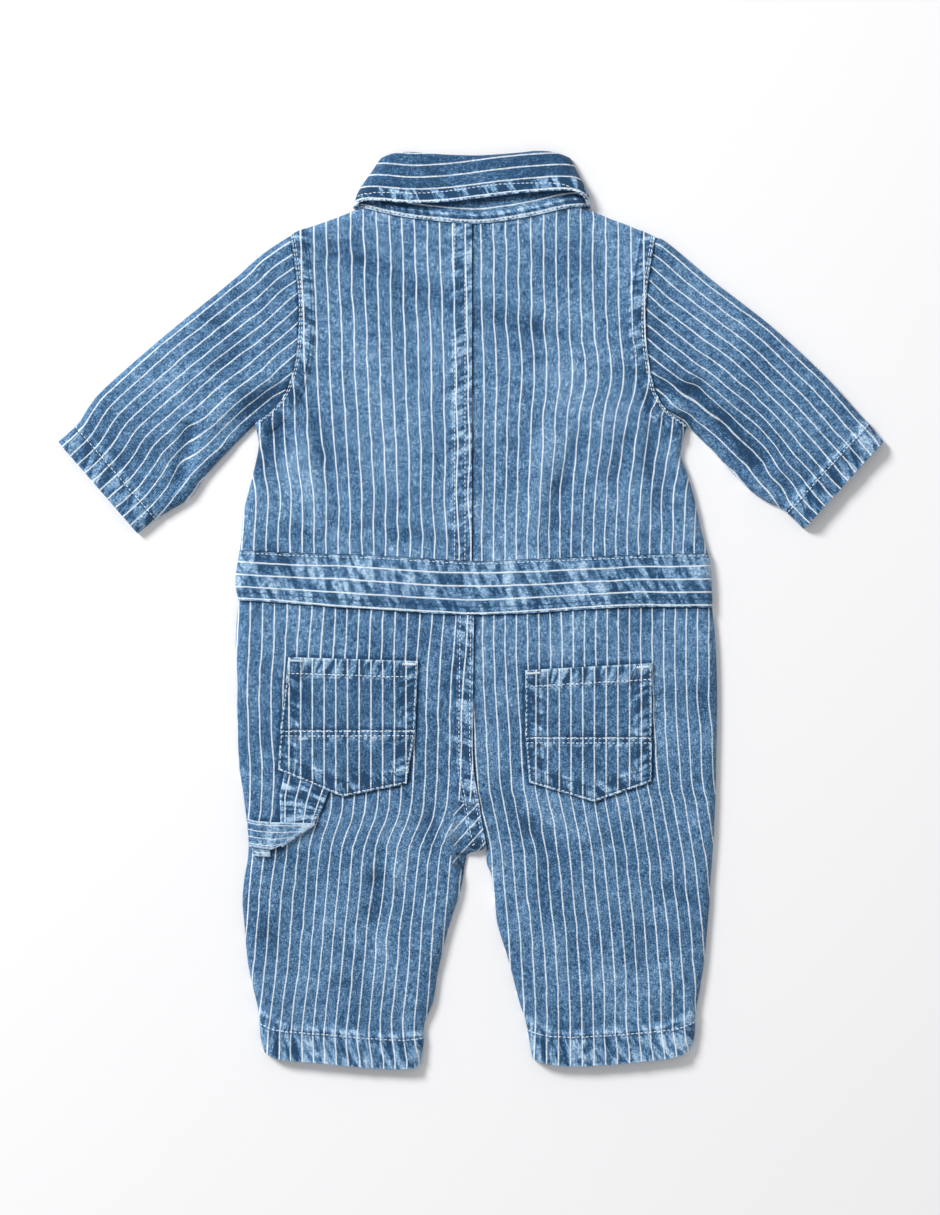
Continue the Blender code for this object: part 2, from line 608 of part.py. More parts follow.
ARMHOLE_STEPS = 6
SIDE_STEPS = 5
SLEEVE_STEPS = 9
NECK_COLUMNS = (-60.0, -51.0, -41.0, -31.0, -21.0, 11.0, 21.0, 31.0, 41.0, 51.0, 60.0)
FRONT_COLUMNS = (-60.0, -52.0, -41.0, -28.0, 0.0, 28.0, 41.0, 52.0, 60.0)


def armhole_stations(armhole):
    """Distances up an armhole from the armpit, shared by the bodice and the sleeve."""
    return stations(length(armhole), ROLL_STATIONS, ROLL_STATIONS, ARMHOLE_STEPS)


def left_part(curve, x):
    """The part of a polyline that runs left to right up to the given X."""
    y = np.interp(x, curve[:, 0], curve[:, 1])
    return np.vstack([curve[curve[:, 0] < x], (x, y)])


def right_part(curve, x):
    """The part of a polyline that runs left to right from the given X on."""
    y = np.interp(x, curve[:, 0], curve[:, 1])
    return np.vstack([(x, y), curve[curve[:, 0] > x]])


def spots_on(curve, columns):
    """Points of a polyline that runs left to right, at the given X."""
    return [(x, np.interp(x, curve[:, 0], curve[:, 1])) for x in columns if curve[0, 0] < x < curve[-1, 0]]


def straight(start, end):
    """A polyline of one straight run."""
    return np.array([start, end], dtype=float)


def bodice_patch(side, armhole, neck, shoulder, inner_x):
    """Flat shape and rows of a bodice panel between its outer edge and a straight inner one."""
    on_left = side[0, 0] < 0
    side = portion(side, CORNER_CUT, length(side) - GAP)
    armhole = portion(armhole, CORNER_CUT)
    outer = np.vstack([side[::-1], armhole])
    low_rows = np.linspace(0, length(side), SIDE_STEPS + 1)
    armhole_rows = length(outer) - length(armhole) + armhole_stations(armhole)
    rows = np.concatenate([low_rows, armhole_rows]) / length(outer)
    bottom = shifted(waist_top, GAP)
    if on_left:
        bottom = np.vstack([side[-1:], left_part(bottom, inner_x)[1:]])
        top = join(shoulder[::-1], left_part(neck, inner_x))
        patch = Patch(bottom, top, outer, straight(bottom[-1], top[-1]))
    else:
        bottom = np.vstack([right_part(bottom, inner_x)[:-1], side[-1:]])
        top = join(right_part(neck, inner_x), shoulder)
        patch = Patch(bottom, top, straight(bottom[0], top[0]), outer)
    return patch, rows


def build_backs():
    """The two back bodices; the left one carries the fell of the centre-back seam."""
    neck = smooth(NECK_SEAM)
    fell_stations = ROLL_STATIONS + (ARMHOLE_FELL, ARMHOLE_FELL + STEP)
    centre_stations = (0.0, BACK_FELL, BACK_FELL + STEP)
    columns = spots_on(neck, NECK_COLUMNS)
    patch, rows = bodice_patch(side_left, armhole_left, neck, shoulder_left, CENTRE_BACK)
    knees = [points_at(shoulder_left, 0.4), neck[0]] + [spot for spot in columns if spot[0] < 0]
    grid = patch.grid(rows, fell_stations, centre_stations, 0, knees)
    fells = [Raised(armhole_left, ARMHOLE_FELL, FELL_RAISE), Raised(patch.right, BACK_FELL, FELL_RAISE)]
    wall("back_left", *upper_cloth(grid, fells))

    patch, rows = bodice_patch(side_right, armhole_right, neck, shoulder_right, CENTRE_BACK + GAP)
    knees = [spot for spot in columns if spot[0] > 0] + [neck[-1], points_at(shoulder_right, 0.4)]
    grid = patch.grid(rows, (0.0,), fell_stations, 0, knees)
    wall("back_right", *upper_cloth(grid, [Raised(armhole_right, ARMHOLE_FELL, FELL_RAISE)]))


def front_lift(points):
    """How far a front rises from the surface: over the placket, or onto its edge."""
    x = points[..., 0]
    over = np.clip((x + LAP_START + LAP_RUN) / LAP_RUN, 0, 1) * 2 * RIM
    beside = np.clip((PLACKET_HALF + LAP_RUN - x) / LAP_RUN, 0, 1) * RIM
    return np.where(x < PLACKET_HALF, over, beside)


def build_fronts():
    """The two front bodices, flat but for the left one's lap over the placket."""
    neck = smooth(FRONT_NECK_LEFT)
    patch, rows = bodice_patch(side_left, shifted(armhole_left, -GAP), neck, shoulder_left, LAP_END)
    lap = LAP_END + LAP_START
    grid = patch.grid(rows, (0.0,), (0.0, lap, lap + LAP_RUN), 0, [neck[0]] + spots_on(neck, FRONT_COLUMNS))
    flat_panel("front_left", grid, front_lift(grid))

    neck = smooth(FRONT_NECK_RIGHT)[::-1]
    edge = PLACKET_HALF + GAP
    patch, rows = bodice_patch(side_right, shifted(armhole_right, GAP), neck, shoulder_right, edge)
    grid = patch.grid(rows, (0.0, LAP_RUN), (0.0,), 0, spots_on(neck, FRONT_COLUMNS) + [neck[-1]])
    flat_panel("front_right", grid, front_lift(grid))


def flat_panel(name, grid, lift=0.0):
    """A panel of even thickness that lies on the surface below, or lifted from it."""
    below = at_height(grid, np.zeros(grid.shape[:-1]) + lift)
    wall(name, below + (0, 0, WALL), below)


def build_placket():
    """The strip that carries the buttons, and the buttons below it."""
    foot = np.interp(0.0, waist_top[:, 0], waist_top[:, 1]) + 2 * RIM
    ends = [(-PLACKET_HALF, foot), (PLACKET_HALF, foot), (-PLACKET_HALF, PLACKET_TOP),
            (PLACKET_HALF, PLACKET_TOP)]
    flat_panel("front_placket", np.array(ends).reshape(2, 2, 2), RIM)
    for number in range(BUTTON_COUNT):
        place = Button(0.0, PLACKET_TOP - BUTTON_PITCH * (number + BUTTON_FIRST))
        add_button(f"button_{number + 1}", place)


def add_button(name, place):
    """A flat button with a bevelled edge, turned round its axis."""
    profile = [(BUTTON_RADIUS - BUTTON_BEVEL, 0.0), (BUTTON_RADIUS, BUTTON_BEVEL),
               (BUTTON_RADIUS, WALL - BUTTON_BEVEL), (BUTTON_RADIUS - BUTTON_BEVEL, WALL)]
    turns = np.linspace(0, 2 * np.pi, BUTTON_SIDES, endpoint=False)
    points = [(place.x + radius * np.cos(turn), place.y + radius * np.sin(turn), height)
              for radius, height in profile for turn in turns]
    faces = [list(range(BUTTON_SIDES)), [len(points) - 1 - index for index in range(BUTTON_SIDES)]]
    for ring in range(len(profile) - 1):
        for side in range(BUTTON_SIDES):
            near, far = side + ring * BUTTON_SIDES, (side + 1) % BUTTON_SIDES + ring * BUTTON_SIDES
            faces.append([near, far, far + BUTTON_SIDES, near + BUTTON_SIDES])
    add_object(name, points, faces, "button")


def build_sleeve(name, armhole, top, under):
    """One sleeve: a flattened tube from its armhole to its hem, across from shoulder to armpit.

    `armhole` runs from the armpit up to the shoulder, parted from the bodice's edge already.
    """
    cuff = straight(top[-1], under[-1])
    top = portion(top, GAP)
    start = np.vstack([top[:1], portion(armhole, CORNER_CUT)[-2::-1]])
    under = np.vstack([start[-1:], portion(under, CORNER_CUT)])
    reach = (length(top) + length(under)) / 2
    rows = stations(reach, (0.0,), (0.0, SLEEVE_HEM, SLEEVE_HEM + STEP), SLEEVE_STEPS) / reach
    patch = Patch(start, cuff, top, under)
    grid = patch.grid(rows, ROLL_STATIONS, ROLL_STATIONS, ARMHOLE_STEPS)
    hem = [Raised(prolonged(cuff, EDGE_OVERRUN), SLEEVE_HEM, HEM_RAISE)]
    tube(name, upper_cloth(grid, hem), lower_cloth(grid))


# ---------------------------------------------------------------------------------------------
# Waistband and legs


def build_waistband():
    """The waistband, all round, raised over the cloth above and below it."""
    patch = Patch(waist_bottom, waist_top, band_left[::-1], band_right[::-1])
    rows = np.linspace(0, 1, 4)
    grid = patch.grid(rows, ROLL_STATIONS, ROLL_STATIONS, BAND_COLUMNS)
    tube("waistband", upper_cloth(grid, [Raised(waist_bottom, BAND_REACH, BAND_RAISE)]), lower_cloth(grid))


RISE_STEPS = 6
INSEAM_STEPS = 7


def leg_rows(inner_edges, hem_width):
    """Shares of a leg's inner edge: the rise, the crotch where there is one, then the inseam."""
    rise_run, inseam_run = length(inner_edges[0]), length(inner_edges[-1])
    rise_rows = stations(rise_run, (0.0,), ROLL_STATIONS, RISE_STEPS)
    total = sum(length(edge) for edge in inner_edges)
    between = total - rise_run - inseam_run
    crotch_rows = [rise_run + between / 2] if between > 0 else []
    inseam_rows = stations(inseam_run, (0.0,), (0.0, hem_width, hem_width + STEP), INSEAM_STEPS)
    if between == 0:
        inseam_rows = inseam_rows[1:]
    return np.concatenate([rise_rows, crotch_rows, rise_run + between + inseam_rows]) / total


def build_legs():
    """The backs and fronts of the legs; the left back carries the fell of the seat seam."""
    top = shifted(waist_bottom, -GAP)
    seam = portion(rise, GAP)
    outer, hem = portion(leg_left, GAP), smooth(HEM_LEFT)
    waist = np.vstack([outer[:1], left_part(top, seam[0, 0])[1:-1], seam[:1]])
    rows = leg_rows([seam, crotch, inseam_left], LEG_HEM)
    patch = Patch(waist, hem, outer, join(seam, crotch, inseam_left))
    grid = patch.grid(rows, ROLL_STATIONS, ROLL_STATIONS + (RISE_FELL, RISE_FELL + STEP), LEG_COLUMNS)
    bands = [Raised(seam, RISE_FELL, FELL_RAISE), Raised(prolonged(hem, EDGE_OVERRUN), LEG_HEM, HEM_RAISE)]
    wall("leg_back_left", *upper_cloth(grid, bands))

    front_crotch = smooth(CROTCH[:2] + FRONT_INSEAM_LEFT[:1])
    patch = Patch(waist, hem, outer, join(seam, front_crotch, smooth(FRONT_INSEAM_LEFT)))
    rows = leg_rows([seam, front_crotch, smooth(FRONT_INSEAM_LEFT)], LEG_HEM)
    flat_panel("leg_front_left", patch.grid(rows, (0.0,), (0.0,), LEG_FRONT_COLUMNS))

    seam = portion(shifted(rise, GAP), GAP)
    inseam = np.vstack([seam[-1:], inseam_right[1:]])
    outer, hem = portion(leg_right, GAP), smooth(HEM_RIGHT)
    waist = np.vstack([seam[:1], right_part(top, seam[0, 0])[1:-1], outer[:1]])
    rows = leg_rows([seam, inseam], LEG_HEM)
    patch = Patch(waist, hem, join(seam, inseam), outer)
    grid = patch.grid(rows, ROLL_STATIONS, ROLL_STATIONS, LEG_COLUMNS)
    bands = [Raised(prolonged(hem, EDGE_OVERRUN), LEG_HEM, HEM_RAISE)]
    wall("leg_back_right", *upper_cloth(grid, bands))
    flat_panel("leg_front_right", patch.grid(rows, (0.0,), (0.0,), LEG_FRONT_COLUMNS))


# ---------------------------------------------------------------------------------------------
# Pockets and side loop


def patch_on_cloth(name, grid, lift=GAP):
    """A patch laid on the upper cloth: the cloth's own points, moved out."""
    height, normal = surface(grid, lying_height, UPPER_ROLLS)
    below = at_height(grid, height) + lift * normal
    wall(name, below + WALL * normal, below)


def build_pockets():
    """Two pockets, each in an upper part and a pointed lower part."""
    for side, shape in POCKETS.items():
        rows = np.linspace(0, 1, 4)
        seam = straight(shape.seam_left, shape.seam_right)
        upper = Patch(seam, straight(shape.top_left, shape.top_right),
                      straight(shape.seam_left, shape.top_left),
                      straight(shape.seam_right, shape.top_right))
        patch_on_cloth(f"pocket_{side}_upper", upper.grid(rows, (0.0,), (0.0,), POCKET_COLUMNS))
        parted = seam - (0, GAP)
        point = np.array([shape.low_left, shape.point, shape.low_right], dtype=float)
        lower = Patch(point, parted, straight(shape.low_left, parted[0]),
                      straight(shape.low_right, parted[1]))
        grid = lower.grid(rows, (0.0,), (0.0,), POINT_COLUMNS, [shape.point])
        patch_on_cloth(f"pocket_{side}_lower", grid)


# The loop's strip, row by row along its length: its two edges, the height of its middle over the
# cloth, and the direction that its outer face points, as a plan vector and an angle from level.
StripRow = namedtuple("StripRow", "x0 y0 x1 y1 lift out_x out_y angle")
LAYER = RIM                                # from one layer of the strip to the next
TURN = LAYER / 2                           # radius of its turns
FIRST_LIFT = GAP + WALL / 2


def turned(row, start, end):
    """Rows of a turn, in which the strip passes from one layer to the next."""
    middle = FIRST_LIFT + TURN
    rows = []
    for angle in np.linspace(start, end, LOOP_TURN_STEPS):
        push = TURN * np.cos(np.radians(angle))
        shift_x, shift_y = row.out_x * push, row.out_y * push
        rows.append(row._replace(x0=row.x0 + shift_x, y0=row.y0 + shift_y, x1=row.x1 + shift_x,
                                 y1=row.y1 + shift_y, lift=middle + TURN * np.sin(np.radians(angle)),
                                 angle=angle))
    return rows


def build_loop():
    """The side loop: down from the pocket, folded over on a slant, along to the side, and under."""
    slant_x, slant_y = 0.6, -0.8
    upper_lift = FIRST_LIFT + LAYER
    down = [StripRow(-111.6, -97.3, -85.2, -108.45, FIRST_LIFT, slant_x, slant_y, -90),
            StripRow(-114.4, -111.0, -89.0, -118.6, FIRST_LIFT, slant_x, slant_y, -90)]
    fold = StripRow(-113.6, -140.8, -93.6, -127.4, FIRST_LIFT, slant_x, slant_y, -90)
    along = [StripRow(-119.0, -143.2, -118.8, -126.8, upper_lift, 0, 1, 90),
             StripRow(-127.4, -142.0, -128.6, -126.0, upper_lift, 0, 1, 90),
             StripRow(-130.4, -141.6, -131.2, -125.4, upper_lift, 0, 1, 90)]
    end = StripRow(-131.6, -141.4, -132.6, -125.0, upper_lift, -1, 0, 90)
    under = [StripRow(-130.0, -146.8, -130.4, -127.6, FIRST_LIFT, -1, 0, -90),
             StripRow(-127.0, -147.4, -127.4, -127.8, FIRST_LIFT, -1, 0, -90),
             StripRow(-119.8, -147.6, -121.4, -129.0, FIRST_LIFT, -1, 0, -90)]
    rows = down + turned(fold, -90, 90) + along + turned(end, 90, -90) + under
    shares = np.linspace(0, 1, LOOP_POINTS)
    outer, inner = [], []
    for row in rows:
        flat = np.stack([row.x0 + (row.x1 - row.x0) * shares, row.y0 + (row.y1 - row.y0) * shares], axis=-1)
        height, _ = surface(flat, lying_height, UPPER_ROLLS)
        angle = np.radians(row.angle)
        face = np.array([row.out_x * np.cos(angle), row.out_y * np.cos(angle), np.sin(angle)])
        middle = at_height(flat, height + row.lift)
        outer.append(middle + WALL / 2 * face)
        inner.append(middle - WALL / 2 * face)
    wall("hammer_loop", np.array(outer), np.array(inner))


# ---------------------------------------------------------------------------------------------
# Collar


def build_stand():
    """The collar stand: a flattened tube round the neck, lower at the front than at the back."""
    left, right = portion(stand_left, GAP), portion(stand_right, GAP)
    neck = np.vstack([left[:1], shifted(smooth(NECK_SEAM), GAP)[1:-1], right[:1]])
    front_edge = np.vstack([left[:1], smooth(STAND_FRONT_EDGE)[1:-1], right[:1]])
    rows = np.array([0.0, NECK_FELL / STAND_DEPTH, (NECK_FELL + STEP) / STAND_DEPTH, 0.45, 0.75, 1.0])
    side_edges = [prolonged(left[::-1], EDGE_OVERRUN), prolonged(right, EDGE_OVERRUN)]
    upper_rolls = [Roll(edge, EDGE_ROLL, STAND_LOW) for edge in side_edges]
    lower_rolls = [Roll(edge, RIM, STAND_LOW) for edge in side_edges]
    back = Patch(neck, smooth(STAND_TOP), left, right)
    back = back.grid(rows, ROLL_STATIONS, ROLL_STATIONS, 0, spots_on(neck, NECK_COLUMNS[1:-1]))
    front = Patch(front_edge, smooth(STAND_FRONT_TOP), left, right)
    front = front.grid(rows, ROLL_STATIONS, ROLL_STATIONS, 0, spots_on(front_edge, FRONT_COLUMNS[1:-1]))
    upper = upper_cloth(back, [Raised(neck, NECK_FELL, FELL_RAISE)], lying_height, upper_rolls)
    tube("collar_stand", upper, lower_cloth(front, RIM, lower_rolls))


def build_fall():
    """The collar's fall: over the stand at the back, round both sides, to a wing at each front."""
    left, right = smooth(column(FALL_SIDES, "left")), smooth(column(FALL_SIDES, "right"))
    side_edges = [prolonged(left[::-1], EDGE_OVERRUN), prolonged(right, EDGE_OVERRUN)]
    free, folded = smooth(FREE_EDGE), smooth(FOLDED_EDGE)
    fold_rows = 1 - np.array(FOLD_STATIONS) / FALL_DEPTH
    band_rows = np.array([0.0, FALL_BAND, FALL_BAND + STEP, FALL_DEPTH * 0.6]) / FALL_DEPTH
    rows = np.concatenate([band_rows, fold_rows])
    rolls = ([Roll(folded[::-1], FOLD_ROLL, FOLD_LOW)]
             + [Roll(edge, FALL_SIDE_ROLL, RIM) for edge in side_edges])
    reach = ROLL_STATIONS[:-1] + (FALL_SIDE_ROLL,)
    back = Patch(free, folded, left, right).grid(rows, reach, reach, FALL_COLUMNS)
    band = [Raised(free, FALL_BAND, FALL_BAND_RAISE)]
    outer, inner = upper_cloth(back, band, fall_height, rolls)

    side_rolls = [Roll(edge, RIM, RIM) for edge in side_edges]
    wing_left = Patch(smooth(WING_EDGE_LEFT), smooth(WING_TOP_LEFT), left, smooth(WING_FRONT_LEFT))
    wing_right = Patch(smooth(WING_EDGE_RIGHT), smooth(WING_TOP_RIGHT), right, smooth(WING_FRONT_RIGHT))
    wings = [lower_cloth(patch.grid(rows, ROLL_STATIONS, (0.0,), WING_COLUMNS), 0.0, side_rolls)
             for patch in (wing_left, wing_right)]
    outer = np.concatenate([wings[0][0][:, :0:-1], outer, wings[1][0][:, 1:]], axis=1)
    inner = np.concatenate([wings[0][1][:, :0:-1], inner, wings[1][1][:, 1:]], axis=1)
    wall("collar_fall", outer, inner)


# ---------------------------------------------------------------------------------------------
# The romper


def main():
    """Builds every piece of the romper in an empty scene."""
    for leftover in list(bpy.data.objects):
        bpy.data.objects.remove(leftover)
    build_backs()
    build_fronts()
    build_placket()
    build_sleeve("sleeve_left", shifted(armhole_left, GAP), sleeve_top_left, sleeve_under_left)
    build_sleeve("sleeve_right", shifted(armhole_right, -GAP), sleeve_top_right, sleeve_under_right)
    build_waistband()
    build_legs()
    build_pockets()
    build_loop()
    build_stand()
    build_fall()


main()
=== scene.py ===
"""Dressed scene of a baby's striped denim romper, laid face down on a pale floor.

Every cut piece of the garment is a closed wall of cloth on a grid of its own. The grids follow the
outlines of the pieces, and heights, seams, folds and wear are worked out on them as whole arrays.

Sizes are millimetres until a mesh is written in metres. X runs across the back from the wearer's
left to right, Y from the hems to the collar, and Z up from the floor.
"""

import logging
from dataclasses import dataclass, field
from enum import Enum
from typing import Any, Callable, NamedTuple, Sequence

import bpy
import numpy as np
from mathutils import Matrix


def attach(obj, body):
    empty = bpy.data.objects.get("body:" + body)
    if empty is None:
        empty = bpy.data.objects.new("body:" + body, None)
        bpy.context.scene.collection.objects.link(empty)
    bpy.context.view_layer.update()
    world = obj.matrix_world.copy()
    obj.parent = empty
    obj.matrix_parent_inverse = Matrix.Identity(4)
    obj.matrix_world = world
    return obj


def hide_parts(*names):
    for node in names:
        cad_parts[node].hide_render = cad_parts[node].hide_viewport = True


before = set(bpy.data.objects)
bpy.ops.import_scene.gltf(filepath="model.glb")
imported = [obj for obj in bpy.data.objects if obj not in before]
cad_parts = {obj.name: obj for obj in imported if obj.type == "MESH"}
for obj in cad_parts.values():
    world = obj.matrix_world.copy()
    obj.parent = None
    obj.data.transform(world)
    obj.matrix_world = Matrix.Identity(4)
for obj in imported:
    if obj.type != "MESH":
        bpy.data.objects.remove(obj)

log = logging.getLogger("romper")

Array = np.ndarray
HeightMap = Callable[[Array], Array]

# ---------------------------------------------------------------------------------------------
# Sizes shared by the pieces

MM = 0.001
BODY = "root"

WALL = 1.2                # thickness of the denim
GAP = 0.3                 # parting between neighbouring pieces
RIM = WALL + GAP          # height of the upper cloth's edge, just over the lower cloth
CROWN = 6.3               # height of the upper cloth away from its edges
EDGE_ROLL = 6.0           # how far in from a closed edge the upper cloth rounds off
STEP = 0.7                # run in which a raised band falls back to the cloth
PITCH = 6.9               # from one stripe of the denim to the next
SPACING = 1.7             # from one grid line to the next in the open cloth
COARSE = 4.5              # the same in hidden pieces
BLOTCH = 4.2              # from one light or dark blotch of a seam to the next
INDIGO_ROW_GAP = 1.1          # from a hem's pale row to the row of indigo stitches beside it

CURVE_STEPS = 8           # straight runs between two points of an outline
INSET_STEPS = 160         # points of the lines that run beside a panel's edges
INSET_CLEAR = 0.98        # share of its distance that a point of them keeps from the edge
COLLAR_REACH = 80.0       # how far from their edge the collar's stripes are measured
SLEEVE_REACH = 200.0      # the same along the sleeves and the collar's wings
CORNER_CUT = 0.45         # how much is taken off the corners of the armpits
EDGE_OVERRUN = 15.0       # how far the closed edges are prolonged past their ends
CHUNK = 3000              # points measured against a curve at a time
ROLL_MARKS = (0.12, 0.45, 1.0, 1.8, 3.0, 4.4)   # grid lines in from an edge where cloth rounds off
FLAT_MARKS = (0.4,)       # the same where it stays flat
ROW_MARGIN = 0.45         # from a stitch row to the grid lines on either side of it
CLOSEST = 0.12            # least distance from one of these grid lines to the next
LAST_CLOSEST = 0.25       # and to the last of them
AT_SEAM = (0.0, 0.5, 1.2, 2.4)                  # first grid lines in from a seam
AT_WAIST = (0.0, 0.5, 1.4, 2.8)                 # and from the seams at the waist
AT_ARMPIT = (0.0, 1.0, 2.4)                     # and on either side of an armpit
AT_SHOULDER = (0.0, 0.4, 1.0, 1.8, 3.0)         # and from a shoulder
AT_HIDDEN = (0.0, 2.0)                          # and from the edges of hidden cloth

WAVE_KNOTS = 512          # random heights of a wave before it repeats
LATTICE = 64              # the same of a field, along each side
FOLD_REACH = 2.6          # how far out a fold counts, in its own widths
UNEVEN = ((0.32, 26.0, 3), (0.14, 11.0, 4))     # height, size and seed of the lying cloth's unevenness

# ---------------------------------------------------------------------------------------------
# Outlines, each a smooth curve through a short table of points


class Spot(NamedTuple):
    """A point of an outline."""

    x: float
    y: float


class Sides(NamedTuple):
    """The left and the right edge of the garment at one level."""

    y: float
    left: float
    right: float


class Grain(NamedTuple):
    """Where two stripes of a piece run at one level."""

    y: float
    inner: float
    outer: float


class Fold(NamedTuple):
    """A soft trough from one point to another; a negative depth makes a ridge.

    The tone says how dark (down to -1) or pale (up to 1) it is: partly the wash, partly painted shade in the
    troughs and painted highlight on the ridges.
    """

    x0: float
    y0: float
    x1: float
    y1: float
    width: float
    depth: float
    tone: float


class Roll(NamedTuple):
    """Rounding of the cloth along an edge, down to a low height."""

    edge: Array
    reach: float
    low: float


class Edge(Enum):
    """The sides of a grid."""

    LEFT = "left"
    RIGHT = "right"
    BOTTOM = "bottom"
    TOP = "top"


def table(kind: type, *rows: Sequence[float]) -> list[Any]:
    """Rows of one kind, from plain rows whose columns are that kind's fields in order."""
    return [kind(*row) for row in rows]


PLACKET_HALF = 15.0       # half the width of the button placket
PLACKET_TOP = 194.5
LAP_END = 13.0            # X at which the left front ends, over the placket

NECK_SEAM = table(
    Spot, (-67.6, 240.3), (-64.8, 240.3), (-46.2, 235.8), (-25.2, 232.8), (0.6, 230.8),
    (18.0, 232.2), (39.0, 235.8), (55.2, 239.6), (66.0, 240.8), (68.8, 240.8))
NECK_LEFT, NECK_RIGHT = NECK_SEAM[0], NECK_SEAM[-1]

SHOULDER_LEFT = [NECK_LEFT] + table(Spot, (-85.0, 233.5), (-101.0, 228.0), (-108.0, 224.6))
SHOULDER_RIGHT = [NECK_RIGHT] + table(Spot, (83.5, 234.5), (94.5, 230.5), (110.2, 223.6))

ARMHOLE_LEFT = table(
    Spot, (-129.6, 111.3), (-116.8, 121.4), (-110.1, 132.6), (-105.6, 146.4), (-103.6, 162.0),
    (-103.2, 179.4), (-104.4, 198.0), SHOULDER_LEFT[-1])
ARMHOLE_RIGHT = table(
    Spot, (129.9, 110.1), (119.6, 117.6), (112.2, 126.6), (108.2, 138.6), (105.4, 154.8),
    (104.4, 172.0), (105.4, 192.6), SHOULDER_RIGHT[-1])

SLEEVE_TOP_LEFT = table(
    Spot, SHOULDER_LEFT[-1], (-126.0, 212.5), (-143.0, 197.5), (-183.0, 165.0), (-218.5, 134.0),
    (-228.5, 122.5), (-236.0, 111.0), (-247.2, 100.8))
SLEEVE_UNDER_LEFT = table(
    Spot, ARMHOLE_LEFT[0], (-143.4, 97.4), (-158.0, 81.8), (-168.6, 67.4), (-180.6, 59.6),
    (-189.0, 54.6), (-199.6, 45.8))
SLEEVE_TOP_RIGHT = table(
    Spot, SHOULDER_RIGHT[-1], (118.0, 220.0), (145.5, 197.0), (179.0, 171.0), (210.0, 142.5),
    (232.0, 118.5), (238.0, 112.0), (247.2, 101.0))
SLEEVE_UNDER_RIGHT = table(
    Spot, ARMHOLE_RIGHT[0], (143.4, 96.6), (156.2, 82.8), (167.0, 72.0), (177.0, 65.0),
    (187.4, 60.0), (199.5, 48.6))

BODICE_SIDES = table(     # from the armpits down to the waistband
    Sides, (108.0, -128.5, 128.6), (100.0, -127.0, 126.5), (93.0, -128.0, 125.5), (82.0, -130.5, 129.5),
    (72.0, -133.0, 132.5), (60.0, -136.0, 135.5), (46.0, -137.5, 138.5))
WAIST_TOP = table(
    Spot, (-138.6, 35.4), (-100.8, 33.6), (-61.2, 32.4), (-21.0, 30.0), (5.4, 28.8), (36.0, 30.0),
    (79.2, 31.8), (111.0, 33.0), (142.2, 33.6))
WAIST_BOTTOM = table(
    Spot, (-139.4, 6.0), (-111.0, 4.2), (-81.0, 1.8), (-51.0, 0.0), (-21.0, -2.2), (5.4, -2.8),
    (36.0, -1.8), (79.2, 1.0), (111.0, 1.8), (144.6, 1.5))
BAND_SIDES = [Sides(18.0, -141.0, 144.0)]

LEG_SIDES = table(        # from the waistband down to the hems
    Sides, (-18.0, -141.0, 146.5), (-46.0, -140.0, 147.5), (-65.0, -140.5, 147.5),
    (-90.0, -139.5, 147.0), (-114.0, -136.0, 146.5), (-142.0, -133.3, 145.2), (-162.0, -136.0, 143.5),
    (-175.0, -137.0, 143.0), (-187.0, -136.0, 142.0), (-213.0, -133.5, 139.5), (-240.0, -127.5, 135.0),
    (-256.0, -126.0, 133.8))
HEM_LEFT = table(
    Spot, (-124.0, -264.4), (-114.0, -269.0), (-87.0, -271.5), (-60.0, -274.0), (-41.0, -274.8),
    (-30.8, -273.6))
HEM_RIGHT = table(
    Spot, (36.8, -268.6), (46.0, -271.8), (62.0, -273.0), (80.0, -272.2), (95.0, -271.0),
    (120.0, -268.0), (131.4, -263.4))
RISE = table(             # seam down the seat, to the crotch
    Spot, (1.8, -2.8), (1.2, -47.4), (1.2, -90.6), (4.8, -115.0), (9.4, -142.8))
CROTCH = table(Spot, RISE[-1], (1.0, -145.0), (-7.6, -146.3))
KNEE_LEFT = table(        # the lower part of the left inseam, on both sides of the leg
    Spot, (-13.0, -189.0), (-19.5, -215.0), (-22.5, -234.0), (-28.0, -248.0), (-28.5, -260.0), HEM_LEFT[-1])
INSEAM_LEFT = table(Spot, CROTCH[-1], (-5.6, -157.0), (-6.4, -168.0)) + KNEE_LEFT
FRONT_INSEAM_LEFT = table(   # the front of the leg shows beside the back at the crotch
    Spot, (-2.4, -146.4), (-3.8, -153.0), (-6.2, -168.0)) + KNEE_LEFT
INSEAM_RIGHT = table(
    Spot, RISE[-1], (9.5, -152.0), (12.5, -160.0), (14.0, -176.0), (16.0, -189.0), (22.5, -210.0),
    (29.0, -235.0), (33.0, -247.0), HEM_RIGHT[0])

FRONT_NECK_LEFT = table(
    Spot, NECK_LEFT, (-62.0, 238.4), (-54.0, 229.0), (-42.0, 212.5), (-28.0, 202.5), (LAP_END, 195.6))
FRONT_NECK_RIGHT = table(
    Spot, NECK_RIGHT, (63.0, 238.6), (55.0, 229.0), (42.0, 212.5), (28.0, 202.5),
    (PLACKET_HALF + GAP, 197.2))

STAND_SIDES = table(      # from the neck seam up to the folded edge
    Sides, (247.0, -66.2, 67.9), (254.6, -62.6, 64.9), (261.8, -57.6, 61.5))
STAND_TOP = table(Spot, (-52.4, 268.0), (-34.0, 270.6), (0.0, 269.0), (36.0, 271.2), (58.0, 267.8))
STAND_FRONT_EDGE = table(
    Spot, (-67.4, 240.7), (-61.0, 240.9), (-53.0, 229.0), (-41.0, 212.5), (-28.0, 203.0), (0.0, 197.5),
    (28.0, 203.0), (42.0, 212.5), (54.0, 229.0), (62.0, 241.2), (68.6, 241.2))
STAND_FRONT_TOP = table(Spot, STAND_TOP[0], (-30.0, 264.0), (0.0, 260.0), (32.0, 264.0), STAND_TOP[-1])

